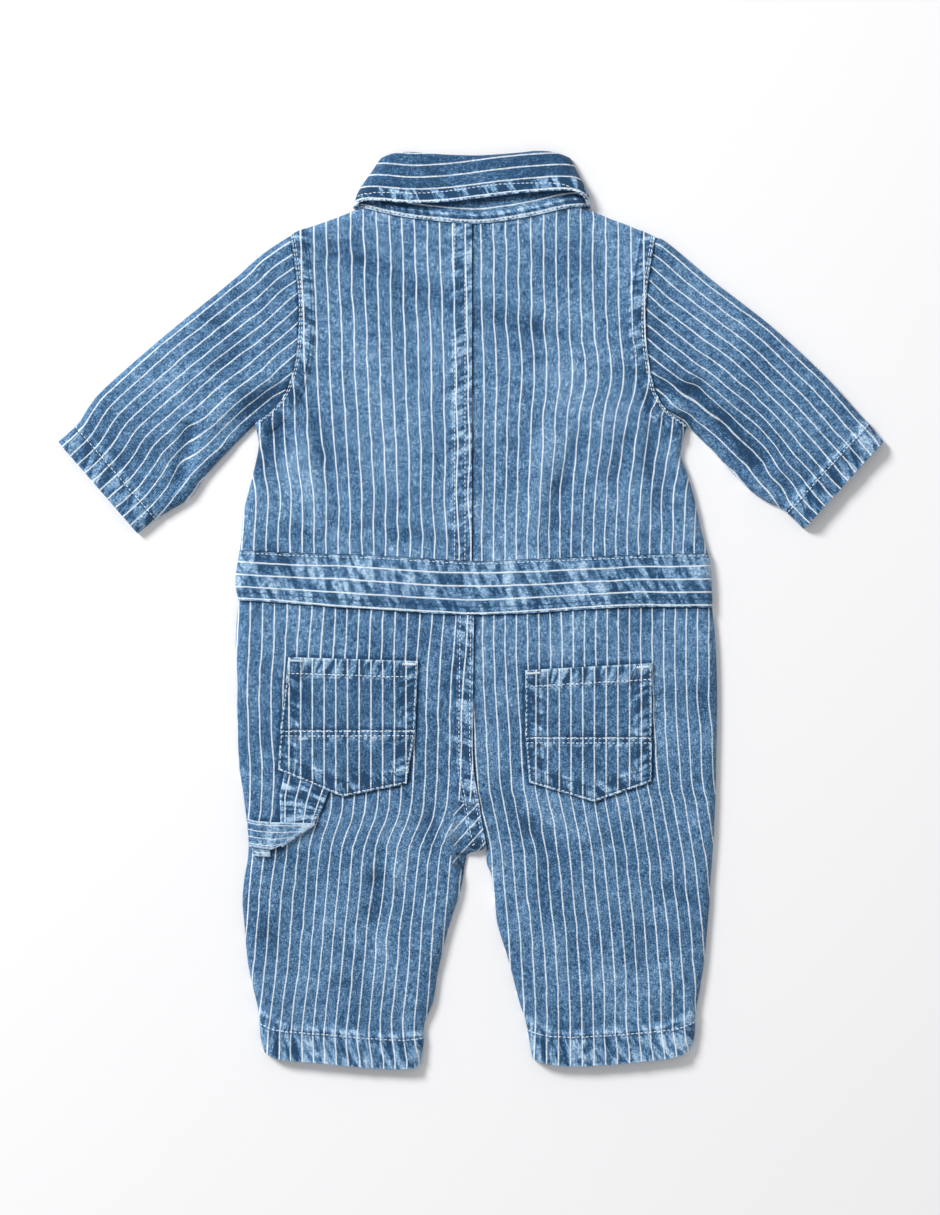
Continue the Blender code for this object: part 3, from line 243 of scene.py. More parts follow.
FALL_SIDES = table(       # from the free edge up to the folded edge
    Sides, (240.7, -70.8, 71.6), (248.5, -68.5, 70.5), (254.0, -65.7, 68.2), (262.0, -60.0, 64.0),
    (267.5, -56.4, 61.4), (270.8, -54.0, 59.6))
FREE_EDGE = table(
    Spot, (-70.8, 240.7), (-66.4, 244.2), (-55.2, 244.5), (-36.0, 243.0), (-18.6, 243.6), (-3.6, 245.0),
    (18.0, 247.8), (39.0, 249.8), (59.4, 250.4), (68.6, 246.0), (71.6, 240.7))
FOLDED_EDGE = table(
    Spot, (-54.0, 270.8), (-48.0, 273.0), (-37.0, 274.2), (-24.0, 273.2), (-10.0, 272.4), (6.0, 272.2),
    (27.0, 273.6), (39.0, 274.8), (50.0, 274.0), (59.6, 270.8))
WING_EDGE_LEFT = table(Spot, FREE_EDGE[0], (-60.0, 241.2), (-52.0, 231.0), (-40.0, 215.0), (-30.0, 206.0))
WING_EDGE_RIGHT = table(Spot, FREE_EDGE[-1], (61.0, 241.4), (53.0, 231.0), (41.0, 215.0), (31.0, 206.0))
WING_TOP_LEFT = table(Spot, FOLDED_EDGE[0], (-44.0, 273.0), (-32.0, 269.0), (-18.0, 262.0))
WING_TOP_RIGHT = table(Spot, FOLDED_EDGE[-1], (50.0, 272.4), (36.0, 269.0), (20.0, 262.0))


class PocketShape(NamedTuple):
    """Corners of a pocket: its top, the seam across it and its pointed end."""

    top_left: Spot
    top_right: Spot
    seam_left: Spot
    seam_right: Spot
    low_left: Spot
    point: Spot
    low_right: Spot


POCKETS = {
    "left": PocketShape(*table(Spot, (-109.2, -28.2), (-31.8, -30.6), (-114.0, -71.4), (-33.4, -71.4),
                               (-115.2, -95.4), (-76.8, -111.6), (-38.6, -103.8))),
    "right": PocketShape(*table(Spot, (32.4, -36.0), (108.0, -31.8), (32.4, -75.6), (108.0, -75.6),
                                (34.8, -103.2), (73.5, -114.6), (108.0, -102.6))),
}

# Where the stripes run, by the level: one stripe near the middle of the garment and one further out
BACK_LEFT_GRAIN = table(
    Grain, (223.0, -26.0, -87.0), (194.0, -25.5, -86.0), (104.0, -23.0, -82.5), (69.0, -23.0, -79.5),
    (39.0, -22.0, -79.5))
BACK_RIGHT_GRAIN = table(
    Grain, (221.0, 5.5, 88.5), (181.0, 6.5, 88.5), (139.0, 7.5, 91.0), (118.0, 7.5, 87.0),
    (104.0, 7.5, 85.0), (70.0, 7.0, 81.5), (39.0, 6.5, 80.0))
LEG_LEFT_GRAIN = table(
    Grain, (-1.0, -16.0, -103.0), (-50.0, -19.5, -105.0), (-113.0, -21.5, -104.5),
    (-137.0, -29.0, -109.0), (-150.0, -32.0, -111.0), (-218.0, -38.0, -117.5), (-251.0, -41.0, -121.0),
    (-270.0, -38.5, -122.0))
LEG_RIGHT_GRAIN = table(
    Grain, (-5.0, 20.5, 108.5), (-52.0, 21.5, 109.0), (-102.0, 24.5, 112.0), (-115.0, 26.5, 114.5),
    (-140.0, 31.5, 118.5), (-159.0, 33.5, 121.5), (-219.0, 37.5, 127.0), (-250.0, 38.5, 127.5),
    (-268.0, 38.0, 130.0))

CROTCH_CORNER = Spot(-11.0, -115.0)      # upper left end of the corner that is cut on the slant
CROTCH_STRIPE = Spot(-12.6, -134.4)      # a point of one of its stripes
CROTCH_SLANT = 48.0                      # their angle from the garment's width, in degrees
CROTCH_PITCH = 6.2
LEG_SHADE = -0.15                        # tones of the pieces that are less faded than the bodice
SLEEVE_SHADE = -0.2
POCKET_SHADE = -0.4

# Folds placed where the photo shows them, and like ones where it doesn't
# Their tone is partly the wash and partly painted shade in the troughs and painted highlight on the ridges
FOLDS = table(
    Fold,
    # The largest, as in the CAD
    (-142, 104, -119, 127, 7, 2.0, 0.0), (-178, 82, -140, 116, 9, 0.9, 0.0),
    (-200, 150, -140, 180, 10, 0.6, 0.0), (138, 130, 176, 92, 9, 1.6, 0.0),
    (132, 118, 162, 86, 6, 1.3, 0.0), (166, 128, 178, 90, 8, 1.2, 0.0),
    (180, 74, 196, 80, 7, 1.0, 0.0), (118, 112, 116, 62, 7, 1.2, 0.0),
    (-118, 104, -114, 62, 7, 0.9, 0.0), (-30, -126, -46, -176, 8, 1.4, 0.0),
    (-4, -122, -9, -140, 5, 1.2, 0.0), (22, -128, 30, -170, 8, 0.8, 0.0),
    (-100, -160, -106, -214, 10, 0.7, 0.0), (112, -150, 104, -214, 10, 0.7, 0.0),
    # Left back
    (-85, 215, -67, 210, 6, 0.7, -0.45), (-67, 210, -13, 189, 6, 0.6, -0.4),
    (-7, 213, -5, 187, 4, 0.3, -0.6), (-7, 222, -6, 219, 5, -0.3, 0.6),
    (-94, 118, -88, 92, 5, 1.0, -0.5), (-88, 92, -80, 60, 5, 1.0, -0.5),
    (-99, 104, -97, 72, 5, -0.6, 0.25), (-84, 52, -68, 50, 5, 0.6, -0.5),
    (-45, 45, -20, 44, 5, 0.6, -0.5),
    # Right back
    (5, 177, 36, 171, 7, 0.7, -0.5), (36, 171, 66, 161, 6, 0.6, -0.4),
    (47, 212, 72, 208, 8, 0.4, -0.3), (65, 102, 53, 72, 5, 0.9, -0.5),
    (53, 72, 50, 48, 5, 0.9, -0.4), (93, 102, 86, 78, 5, 1.0, -0.45),
    (108, 110, 107, 80, 4, 1.0, -0.6), (127, 111, 131, 102, 4, 0.7, -0.5),
    (47, 102, 36, 54, 6, -0.8, 0.3), (99, 215, 99, 212, 4, -0.2, 0.6),
    (98, 196, 98, 192, 3, 0.3, -0.8), (105, 164, 105, 158, 4, 0.4, -0.5),
    # Left sleeve
    (-154, 144, -138, 153, 5, 0.8, -0.45), (-154, 114, -121, 138, 7, -1.2, 0.35),
    (-132, 124, -112, 128, 9, 1.5, -1.1), (-116, 114, -126, 90, 8, 1.2, -1.1),
    (-169, 108, -176, 78, 4, 1.3, -0.8), (-158, 104, -172, 74, 5, -0.8, 0.35),
    # Right sleeve
    (116, 135, 134, 132, 5, 1.3, -0.7), (134, 132, 152, 114, 5, 1.4, -0.7),
    (152, 114, 170, 90, 5, 1.4, -0.7), (107, 119, 128, 114, 4, 1.2, -0.6),
    (128, 114, 131, 102, 4, 1.0, -0.6), (122, 123, 137, 114, 4, -1.2, 0.4),
    (170, 90, 174, 84, 5, 0.8, -0.5), (185, 78, 188, 74, 5, 0.8, -0.5),
    (192, 64, 196, 68, 4, -0.3, 0.6), (210, 85, 214, 89, 4, -0.3, 0.6),
    (231, 100, 235, 104, 4, -0.3, 0.5), (207, 73, 211, 77, 4, 0.3, -0.5),
    (225, 88, 229, 92, 4, 0.3, -0.5),
    # Waistband
    (-6, 34, -6, 0, 8, 0.3, -0.4), (25, 29, 26, 4, 5, -0.3, 0.5),
    (55, 13, 57, 9, 5, 0.3, -0.5), (109, 16, 109, 0, 4, 0.4, -0.5),
    (129, 36, 133, 36, 4, 0.3, -0.5), (-126, 35, -122, 35, 4, 0.3, -0.5),
    (-84, 24, -74, 10, 7, -0.3, 0.4), (-110, 28, -100, 14, 3, 0.4, -0.3),
    (-50, 26, -40, 12, 3, 0.4, -0.3), (75, 26, 84, 12, 3, 0.4, -0.3),
    # Pockets
    (42, -32, 52, -50, 7, 0.4, -0.3), (66, -30, 66, -40, 4, 0.3, -0.35),
    (95, -35, 95, -49, 4, 0.4, -0.35), (109, -88, 109, -97, 4, 0.4, -0.4),
    (68, -78, 68, -88, 5, 0.3, -0.35), (38, -76, 42, -76, 4, -0.2, 0.5),
    (98, -76, 102, -76, 4, -0.2, 0.5), (-100, -38, -100, -54, 4, 0.4, -0.4),
    (-49, -37, -45, -38, 4, 0.3, -0.35), (-40, -48, -40, -64, 4, 0.4, -0.4),
    (-108, -90, -82, -98, 6, -0.4, 0.3),
    # Crotch and side loop
    (-23, -126, -23, -143, 4, 0.8, -0.5), (-6, -138, -6, -155, 3, 0.7, -0.6),
    (4, -121, 4, -143, 3, 0.8, -0.5), (-13, -126, -13, -134, 4, -0.5, 0.5),
    # these two rows are troughs with painted shadow beside the side loop
    (-120, -148, -98, -148, 5, 0.5, -0.5), (-126, -120, -118, -121, 4, 0.4, -0.4),
    # Left leg
    (-52, -148, -56, -162, 6, 1.0, -0.5), (-56, -162, -56, -181, 6, 0.8, -0.4),
    (-35, -121, -44, -157, 6, -0.9, 0.3), (-44, -157, -52, -198, 6, -0.8, 0.3),
    (-52, -198, -54, -222, 6, -0.5, 0.25), (-100, -164, -100, -188, 6, 0.6, -0.35),
    (-121, -192, -120, -200, 5, 0.5, -0.4), (-24, -212, -30, -244, 5, 0.5, -0.4),
    # Right leg
    (20, -102, 37, -131, 6, 0.9, -0.4), (37, -131, 52, -145, 6, 0.9, -0.4),
    (28, -112, 68, -136, 5, -0.8, 0.3), (44, -157, 44, -186, 6, 0.6, -0.35),
    (64, -198, 61, -222, 6, 0.6, -0.35), (92, -155, 128, -169, 5, 0.7, -0.4),
    (138, -49, 139, -60, 4, 0.4, -0.4), (124, -198, 126, -206, 5, 0.4, -0.35),
    (133, -210, 130, -220, 4, 0.4, -0.35), (112, -217, 112, -226, 6, -0.4, 0.35),
    # Hems
    (-118, -261, -78, -264, 3, 0.2, -0.4), (-66, -258, -62, -258, 4, -0.2, 0.5),
    (-45, -260, -39, -260, 4, 0.2, -0.5), (44, -260, 50, -260, 4, 0.2, -0.5),
    (62, -258, 66, -258, 4, -0.2, 0.5), (80, -256, 86, -256, 4, 0.2, -0.45),
    (99, -260, 105, -260, 4, 0.2, -0.45), (117, -258, 121, -258, 4, -0.2, 0.5),
)
DEEPEST = 3.4             # how deep the folds go where several meet

# ---------------------------------------------------------------------------------------------
# Curves and flat patches


def smooth(points: Sequence[Spot], before: Spot | None = None, after: Spot | None = None) -> Array:
    """Dense polyline of a Catmull-Rom curve through a table of points.

    Between two knots the curve is a cubic whose slope at each knot is half the step between the
    knots on either side of it.

    Args:
        points: The knots.
        before: Where the line goes on before the first knot, the next point out.
        after: Where the line goes on after the last knot, the next point out.

    Returns:
        Points of the curve, one row each.
    """
    knots = np.array([(point.x, point.y) for point in points])
    if len(knots) == 2:
        return knots
    first = np.array(before[:2]) if before else 2 * knots[0] - knots[1]
    last = np.array(after[:2]) if after else 2 * knots[-1] - knots[-2]
    a, b, c, d = (np.vstack([first, knots, last])[start:len(knots) - 1 + start, None] for start in range(4))
    t = np.linspace(0, 1, CURVE_STEPS, endpoint=False)[None, :, None]
    curve = b + 0.5 * ((c - a) * t + (2 * a - 5 * b + 4 * c - d) * t ** 2 + (3 * b - a - 3 * c + d) * t ** 3)
    return np.vstack([curve.reshape(-1, 2), knots[-1:]])


def column(rows: Sequence[Sides], side: str) -> list[Spot]:
    """One side of a table of levels, as points."""
    return [Spot(getattr(row, side), row.y) for row in rows]


def join(*curves: Array) -> Array:
    """Polylines laid end to end, with the shared points kept once."""
    return np.vstack([curves[0]] + [curve[1:] for curve in curves[1:]])


def runs(curve: Array) -> Array:
    """Distance along a polyline of each of its points."""
    return np.concatenate([[0.0], np.cumsum(np.linalg.norm(np.diff(curve, axis=0), axis=1))])


def length(curve: Array) -> float:
    """Length of a polyline."""
    return float(runs(curve)[-1])


def mixed(values: Array, run: Array, places: Array) -> Array:
    """Rows of values, given at distances along a polyline, read at other distances along it."""
    return np.stack([np.interp(places, run, values[:, axis]) for axis in range(values.shape[1])], axis=-1)


def points_at(curve: Array, share: Array) -> Array:
    """Points of a polyline at shares of its length."""
    return mixed(curve, runs(curve), np.asarray(share) * length(curve))


def portion(curve: Array, start: float, end: float | None = None) -> Array:
    """The part of a polyline between two distances along it.

    Args:
        curve: The polyline.
        start: Distance at which the part starts.
        end: Distance at which it ends, or None for the polyline's own end.

    Returns:
        The points of the part.
    """
    run = runs(curve)
    end = run[-1] if end is None else end
    inner = curve[(run > start) & (run < end)]
    first, last = mixed(curve, run, np.array([start, end]))
    return np.vstack([first, inner, last])


def left_normals(curve: Array) -> Array:
    """Unit vectors to the left of a polyline, one at each of its points."""
    steps = np.diff(curve, axis=0)
    steps /= np.linalg.norm(steps, axis=1, keepdims=True)
    ahead = np.vstack([steps[:1], steps[:-1] + steps[1:], steps[-1:]])
    ahead /= np.linalg.norm(ahead, axis=1, keepdims=True)
    return np.stack([-ahead[:, 1], ahead[:, 0]], axis=1)


def shifted(curve: Array, distance: float) -> Array:
    """The polyline moved to its left by a distance."""
    return curve + distance * left_normals(curve)


def prolonged(curve: Array, distance: float) -> Array:
    """The polyline with a straight run added at each end."""
    first = curve[0] + (curve[0] - curve[1]) / np.linalg.norm(curve[0] - curve[1]) * distance
    last = curve[-1] + (curve[-1] - curve[-2]) / np.linalg.norm(curve[-1] - curve[-2]) * distance
    return np.vstack([first, curve, last])


def straight(start: Sequence[float], end: Sequence[float]) -> Array:
    """A polyline of one straight run."""
    return np.array([start[:2], end[:2]], dtype=float)


def closest(points: Array, curve: Array) -> Array:
    """Distance along a polyline of the place that is closest to each point.

    Each point is dropped onto every run of the polyline, and the nearest foot counts.

    Args:
        points: Flat points, in an array of any shape whose last axis is X and Y.
        curve: The polyline.

    Returns:
        The distances, in the shape of the points without their last axis.
    """
    flat = points.reshape(-1, 2)
    step, run = np.diff(curve, axis=0), runs(curve)
    places = np.empty(len(flat))
    for start in range(0, len(flat), CHUNK):
        away = flat[start:start + CHUNK, None, :] - curve[:-1]
        share = np.clip((away * step).sum(-1) / (step ** 2).sum(-1), 0, 1)
        best = ((away - share[..., None] * step) ** 2).sum(-1).argmin(-1)
        share = np.take_along_axis(share, best[:, None], axis=-1)[:, 0]
        places[start:start + CHUNK] = run[best] + share * (run[best + 1] - run[best])
    return places.reshape(points.shape[:-1])


def nearest(points: Array, curve: Array) -> Array:
    """Distance of each point from a polyline, positive on its left."""
    run, places = runs(curve), closest(points, curve)
    away = points - mixed(curve, run, places)
    to_left = mixed(left_normals(curve), run, places)
    return np.copysign(np.linalg.norm(away, axis=-1), (away * to_left).sum(-1))


def far_from(points: Array, curve: Array, reach: float) -> Array:
    """Marks the points that are surely more than a distance away from a polyline."""
    low, high = curve.min(0) - reach, curve.max(0) + reach
    return ((points < low) | (points > high)).any(-1)


def measured(points: Array, curve: Array, reach: float) -> tuple[Array, Array]:
    """Distances from a polyline and along it, worked out only for the points within reach.

    Args:
        points: Flat points.
        curve: The polyline.
        reach: Distance beyond which the exact value doesn't matter.

    Returns:
        The distance from the polyline, twice the reach where it is far away, and the distance along.
    """
    away, run = np.full(points.shape[:-1], 2 * reach), np.zeros(points.shape[:-1])
    near = ~far_from(points, curve, reach)
    if near.any():
        run[near] = closest(points[near], curve)
        foot = mixed(curve, runs(curve), run[near])
        away[near] = np.linalg.norm(points[near] - foot, axis=-1)
    return away, run


def even_steps(near: float, far: float, reach: float, spacing: float) -> Array:
    """Even shares from near to far, far left out, so that a step over the reach is about the spacing."""
    return np.linspace(near, far, max(1, round((far - near) * reach / spacing)) + 1)[:-1]


class Patch:
    """Flat four-sided piece, a Coons patch between a bottom, a top, a left and a right edge.

    The bottom and the top run from left to right, and the sides from bottom to top. `turn` is 1
    where the cloth is to the left of the bottom edge, and -1 in a mirrored patch.
    """

    def __init__(self, bottom: Array, top: Array, left: Array, right: Array) -> None:
        """Keeps the four edges, each a polyline."""
        self.bottom, self.top, self.left, self.right = bottom, top, left, right
        rim = np.vstack([bottom, right, top[::-1], left[::-1]])
        ahead = np.roll(rim, -1, axis=0)
        self.turn = np.sign((rim[:, 0] * ahead[:, 1] - rim[:, 1] * ahead[:, 0]).sum())

    def at(self, u: Array, v: Array) -> Array:
        """Points inside the patch.

        The sides blended across, plus the ends blended along, less the corners blended both ways.

        Args:
            u: Shares across, from left to right.
            v: Shares along, from bottom to top.

        Returns:
            The flat points.
        """
        across, along = u[..., None], v[..., None]
        sides = (1 - across) * points_at(self.left, v) + across * points_at(self.right, v)
        ends = (1 - along) * points_at(self.bottom, u) + along * points_at(self.top, u)
        corners = ((1 - across) * (1 - along) * self.left[0] + across * (1 - along) * self.right[0]
                   + (1 - across) * along * self.left[-1] + across * along * self.right[-1])
        return sides + ends - corners

    def inset(self, edge: Array, width: float) -> Array:
        """The line at a width in from a side edge, from the bottom edge to the top one.

        Args:
            edge: The patch's own left or right edge.
            width: Distance in from it.

        Returns:
            The edge moved in, without what would cross the edge, the bottom or the top.
        """
        if not width:
            return edge
        inwards = -self.turn if edge is self.left else self.turn
        even = points_at(edge, np.linspace(0, 1, INSET_STEPS))
        moved = shifted(even, inwards * width)
        inside = np.abs(nearest(moved, edge)) > INSET_CLEAR * width
        inside &= self.turn * nearest(moved, self.bottom) > GAP
        inside &= self.turn * nearest(moved, self.top) < -GAP
        ends = [mixed(end, runs(end), np.array(width if edge is self.left else length(end) - width))
                for end in (self.bottom, self.top)]
        return np.vstack([ends[0], moved[inside], ends[1]])

    def middle(self, left_width: float, right_width: float) -> "Patch":
        """The patch without a strip of the given width along its left and its right edge."""
        ends = [portion(end, left_width, length(end) - right_width) for end in (self.bottom, self.top)]
        return Patch(*ends, self.inset(self.left, left_width), self.inset(self.right, right_width))

    def share_of(self, point: Sequence[float]) -> float:
        """The share of the width at which a point of the bottom or the top edge lies."""
        spot = np.array(point)
        end = min((self.bottom, self.top), key=lambda line: abs(nearest(spot, line)))
        return float(closest(spot, end)) / length(end)

    def grid(self, rows: Array, start: Sequence[float] = (0.0,), end: Sequence[float] = (0.0,),
             spacing: float = SPACING, knees: Sequence[Sequence[float]] = (), columns: int = 0) -> Array:
        """Grid of points, row by row from bottom to top.

        Args:
            rows: Shares of the patch's length at which the rows lie.
            start: Distances of the first columns in from the left edge.
            end: Distances of the last columns in from the right edge.
            spacing: About how far apart the other columns are.
            knees: Points of the bottom or the top edge that each get a column.
            columns: Columns in all, or 0 for as many as the spacing gives.

        Returns:
            Flat points, rows by columns.
        """
        middle = self.middle(start[-1], end[-1])
        stops = [0.0, *(middle.share_of(knee) for knee in knees), 1.0]
        reach = max(length(middle.bottom), length(middle.top))
        u = np.concatenate([even_steps(near, far, reach, spacing) for near, far in zip(stops, stops[1:])])
        if columns:
            u = np.linspace(0, 1, columns - len(start) - len(end) + 2)[:-1]
        rows = np.asarray(rows)
        inner = middle.at(*np.meshgrid(np.append(u, 1.0), rows))
        first = strip(points_at(self.left, rows), inner[:, 0], start)
        last = strip(points_at(self.right, rows), inner[:, -1], end)
        return np.concatenate([first, inner, last[:, ::-1]], axis=1)


def strip(edge: Array, inner: Array, distances: Sequence[float]) -> Array:
    """Columns between an edge and the line at the last of the distances, without that line."""
    if len(distances) < 2:
        return np.empty((len(edge), 0, 2))
    shares = np.array(distances[:-1])[None, :, None] / distances[-1]
    return edge[:, None] + (inner - edge)[:, None] * shares


def spread(total: float, start: Sequence[float], end: Sequence[float], spacing: float = SPACING) -> Array:
    """Distances along an edge: the given ones at its start and its end, and even ones between."""
    between = total - start[-1] - end[-1]
    middle = start[-1] + even_steps(0.0, 1.0, between, spacing)[1:] * between
    return np.concatenate([start, middle, total - np.asarray(end)[::-1]])


def beside(reach: float, *sewn: float, rolled: bool = True) -> tuple[float, ...]:
    """Distances in from an edge, close ones where the cloth rounds off and where it is sewn.

    Args:
        reach: The last of the distances.
        sewn: Distances of stitch rows and of the edges of raised bands.
        rolled: Whether the cloth rounds off along the edge.

    Returns:
        The distances in order, without those that would be too close to the one before or the last.
    """
    marks = {0.0, reach} | {place + side for place in sewn for side in (-ROW_MARGIN, 0.0, ROW_MARGIN)}
    marks |= set(ROLL_MARKS if rolled else FLAT_MARKS) | set(np.arange(SPACING, reach, SPACING))
    kept = [0.0]
    for mark in sorted(mark for mark in marks if 0 < mark <= reach):
        if mark - kept[-1] >= CLOSEST and (mark == reach or reach - mark >= LAST_CLOSEST):
            kept.append(float(mark))
    return tuple(kept)


# ---------------------------------------------------------------------------------------------
# Closed edges of the garment, each with the cloth on its left

STAND_LEFT = smooth([NECK_SEAM[0]] + column(STAND_SIDES, "left") + [STAND_TOP[0]])
STAND_RIGHT = smooth([NECK_SEAM[-1]] + column(STAND_SIDES, "right") + [STAND_TOP[-1]])
SIDE_LEFT = smooth([ARMHOLE_LEFT[0]] + column(BODICE_SIDES, "left") + [WAIST_TOP[0]])
SIDE_RIGHT = smooth([ARMHOLE_RIGHT[0]] + column(BODICE_SIDES, "right") + [WAIST_TOP[-1]])
BAND_LEFT = smooth([WAIST_TOP[0]] + column(BAND_SIDES, "left") + [WAIST_BOTTOM[0]])
BAND_RIGHT = smooth([WAIST_TOP[-1]] + column(BAND_SIDES, "right") + [WAIST_BOTTOM[-1]])
OUTSEAM_LEFT = smooth([WAIST_BOTTOM[0]] + column(LEG_SIDES, "left") + [HEM_LEFT[0]])
OUTSEAM_RIGHT = smooth([WAIST_BOTTOM[-1]] + column(LEG_SIDES, "right") + [HEM_RIGHT[-1]])
ARM_LEFT, ARM_RIGHT = smooth(ARMHOLE_LEFT), smooth(ARMHOLE_RIGHT)
TOP_LEFT = smooth(SHOULDER_LEFT, after=SLEEVE_TOP_LEFT[1])
TOP_RIGHT = smooth(SHOULDER_RIGHT, after=SLEEVE_TOP_RIGHT[1])
OVERARM_LEFT = smooth(SLEEVE_TOP_LEFT, before=SHOULDER_LEFT[-2])
OVERARM_RIGHT = smooth(SLEEVE_TOP_RIGHT, before=SHOULDER_RIGHT[-2])
UNDERARM_LEFT, UNDERARM_RIGHT = smooth(SLEEVE_UNDER_LEFT), smooth(SLEEVE_UNDER_RIGHT)
SEAT_SEAM, CROTCH_EDGE = smooth(RISE), smooth(CROTCH)
INSIDE_LEFT, INSIDE_RIGHT = smooth(INSEAM_LEFT), smooth(INSEAM_RIGHT)
BAND_TOP, BAND_BOTTOM = smooth(WAIST_TOP), smooth(WAIST_BOTTOM)
CUFF_LEFT = straight(OVERARM_LEFT[-1], UNDERARM_LEFT[-1])
CUFF_RIGHT = straight(OVERARM_RIGHT[-1], UNDERARM_RIGHT[-1])
FOOT_LEFT, FOOT_RIGHT = smooth(HEM_LEFT), smooth(HEM_RIGHT)

CLOSED_EDGES = [prolonged(edge, EDGE_OVERRUN) for edge in (
    join(STAND_LEFT[::-1], TOP_LEFT, OVERARM_LEFT),
    join(UNDERARM_LEFT[::-1], SIDE_LEFT, BAND_LEFT, OUTSEAM_LEFT),
    join(INSIDE_LEFT[::-1], CROTCH_EDGE[::-1], INSIDE_RIGHT),
    join(OUTSEAM_RIGHT[::-1], BAND_RIGHT[::-1], SIDE_RIGHT[::-1], UNDERARM_RIGHT),
    join(OVERARM_RIGHT[::-1], TOP_RIGHT[::-1], STAND_RIGHT),
)]
UPPER_ROLLS = [Roll(edge, EDGE_ROLL, RIM) for edge in CLOSED_EDGES]
LOWER_ROLLS = [Roll(edge, RIM, RIM) for edge in CLOSED_EDGES]

# ---------------------------------------------------------------------------------------------
# Heights of the cloth


def wave(run: Array, pitch: float, seed: int) -> Array:
    """Uneven wave along a seam: random heights between -1 and 1, a pitch apart, eased into each other."""
    knots = np.random.default_rng(seed).uniform(-1, 1, WAVE_KNOTS)
    place = np.asarray(run) / pitch + WAVE_KNOTS // 4
    low = np.floor(place).astype(int)
    share = place - low
    ease = share ** 2 * (3 - 2 * share)
    return knots[low % WAVE_KNOTS] * (1 - ease) + knots[(low + 1) % WAVE_KNOTS] * ease


def mottle(points: Array, size: float, seed: int) -> Array:
    """Uneven field between -1 and 1: random heights on a square lattice, eased into each other."""
    knots = np.random.default_rng(seed).uniform(-1, 1, (LATTICE, LATTICE))
    place = points / size + LATTICE // 2
    low = np.floor(place).astype(int)
    share = place - low
    ease = share ** 2 * (3 - 2 * share)
    x, y = low[..., 0] % LATTICE, low[..., 1] % LATTICE
    x_next, y_next = (x + 1) % LATTICE, (y + 1) % LATTICE
    near = knots[x, y] * (1 - ease[..., 0]) + knots[x_next, y] * ease[..., 0]
    far = knots[x, y_next] * (1 - ease[..., 0]) + knots[x_next, y_next] * ease[..., 0]
    return near * (1 - ease[..., 1]) + far * ease[..., 1]


def folded(points: Array) -> tuple[Array, Array]:
    """Depth and tone of the folds, the tone partly wash and partly painted shade and highlight: a bell across
    each fold, which fades out past its ends.
    """
    depth, tone = np.zeros(points.shape[:-1]), np.zeros(points.shape[:-1])
    for fold in FOLDS:
        away, _ = measured(points, straight((fold.x0, fold.y0), (fold.x1, fold.y1)), FOLD_REACH * fold.width)
        bell = np.exp(-(away / fold.width) ** 2)
        depth, tone = depth + fold.depth * bell, tone + fold.tone * bell
    return np.minimum(depth, DEEPEST), tone


def lying_height(points: Array) -> Array:
    """Height of the upper cloth before its edges are rounded: the crown, less folds and unevenness."""
    uneven = sum(height * mottle(points, size, seed) for height, size, seed in UNEVEN)
    return CROWN - folded(points)[0] + uneven


def level(height: float) -> HeightMap:
    """A function that gives the same height everywhere."""
    return lambda points: np.full(points.shape[:-1], height)


def surface(points: Array, crown: HeightMap, rolls: Sequence[Roll]) -> Array:
    """Heights of cloth that rounds off along its closed edges.

    Along each edge the height goes from low to the crown as a quarter of an ellipse.

    Args:
        points: Flat points.
        crown: Height of the cloth before it is rounded off.
        rolls: The edges that it rounds off along.

    Returns:
        One height for each point.
    """
    height = crown(points)
    for roll in rolls:
        distance, _ = measured(points, roll.edge, roll.reach)
        share = np.clip(distance / roll.reach, 1e-6, 1)
        height = roll.low + (height - roll.low) * np.sqrt(1 - (1 - share) ** 2)
    return height


def at_height(points: Array, height: Array) -> Array:
    """Flat points with their heights added."""
    return np.concatenate([points, height[..., None]], axis=-1)


def upward_normals(grid: Array) -> Array:
    """Unit normals of a grid of points: the cross product of its steps across and along, upwards."""
    normal = np.cross(np.gradient(grid, axis=1), np.gradient(grid, axis=0))
    normal /= np.linalg.norm(normal, axis=-1, keepdims=True) + 1e-12
    return normal * np.where(normal[..., 2:] < 0, -1.0, 1.0)


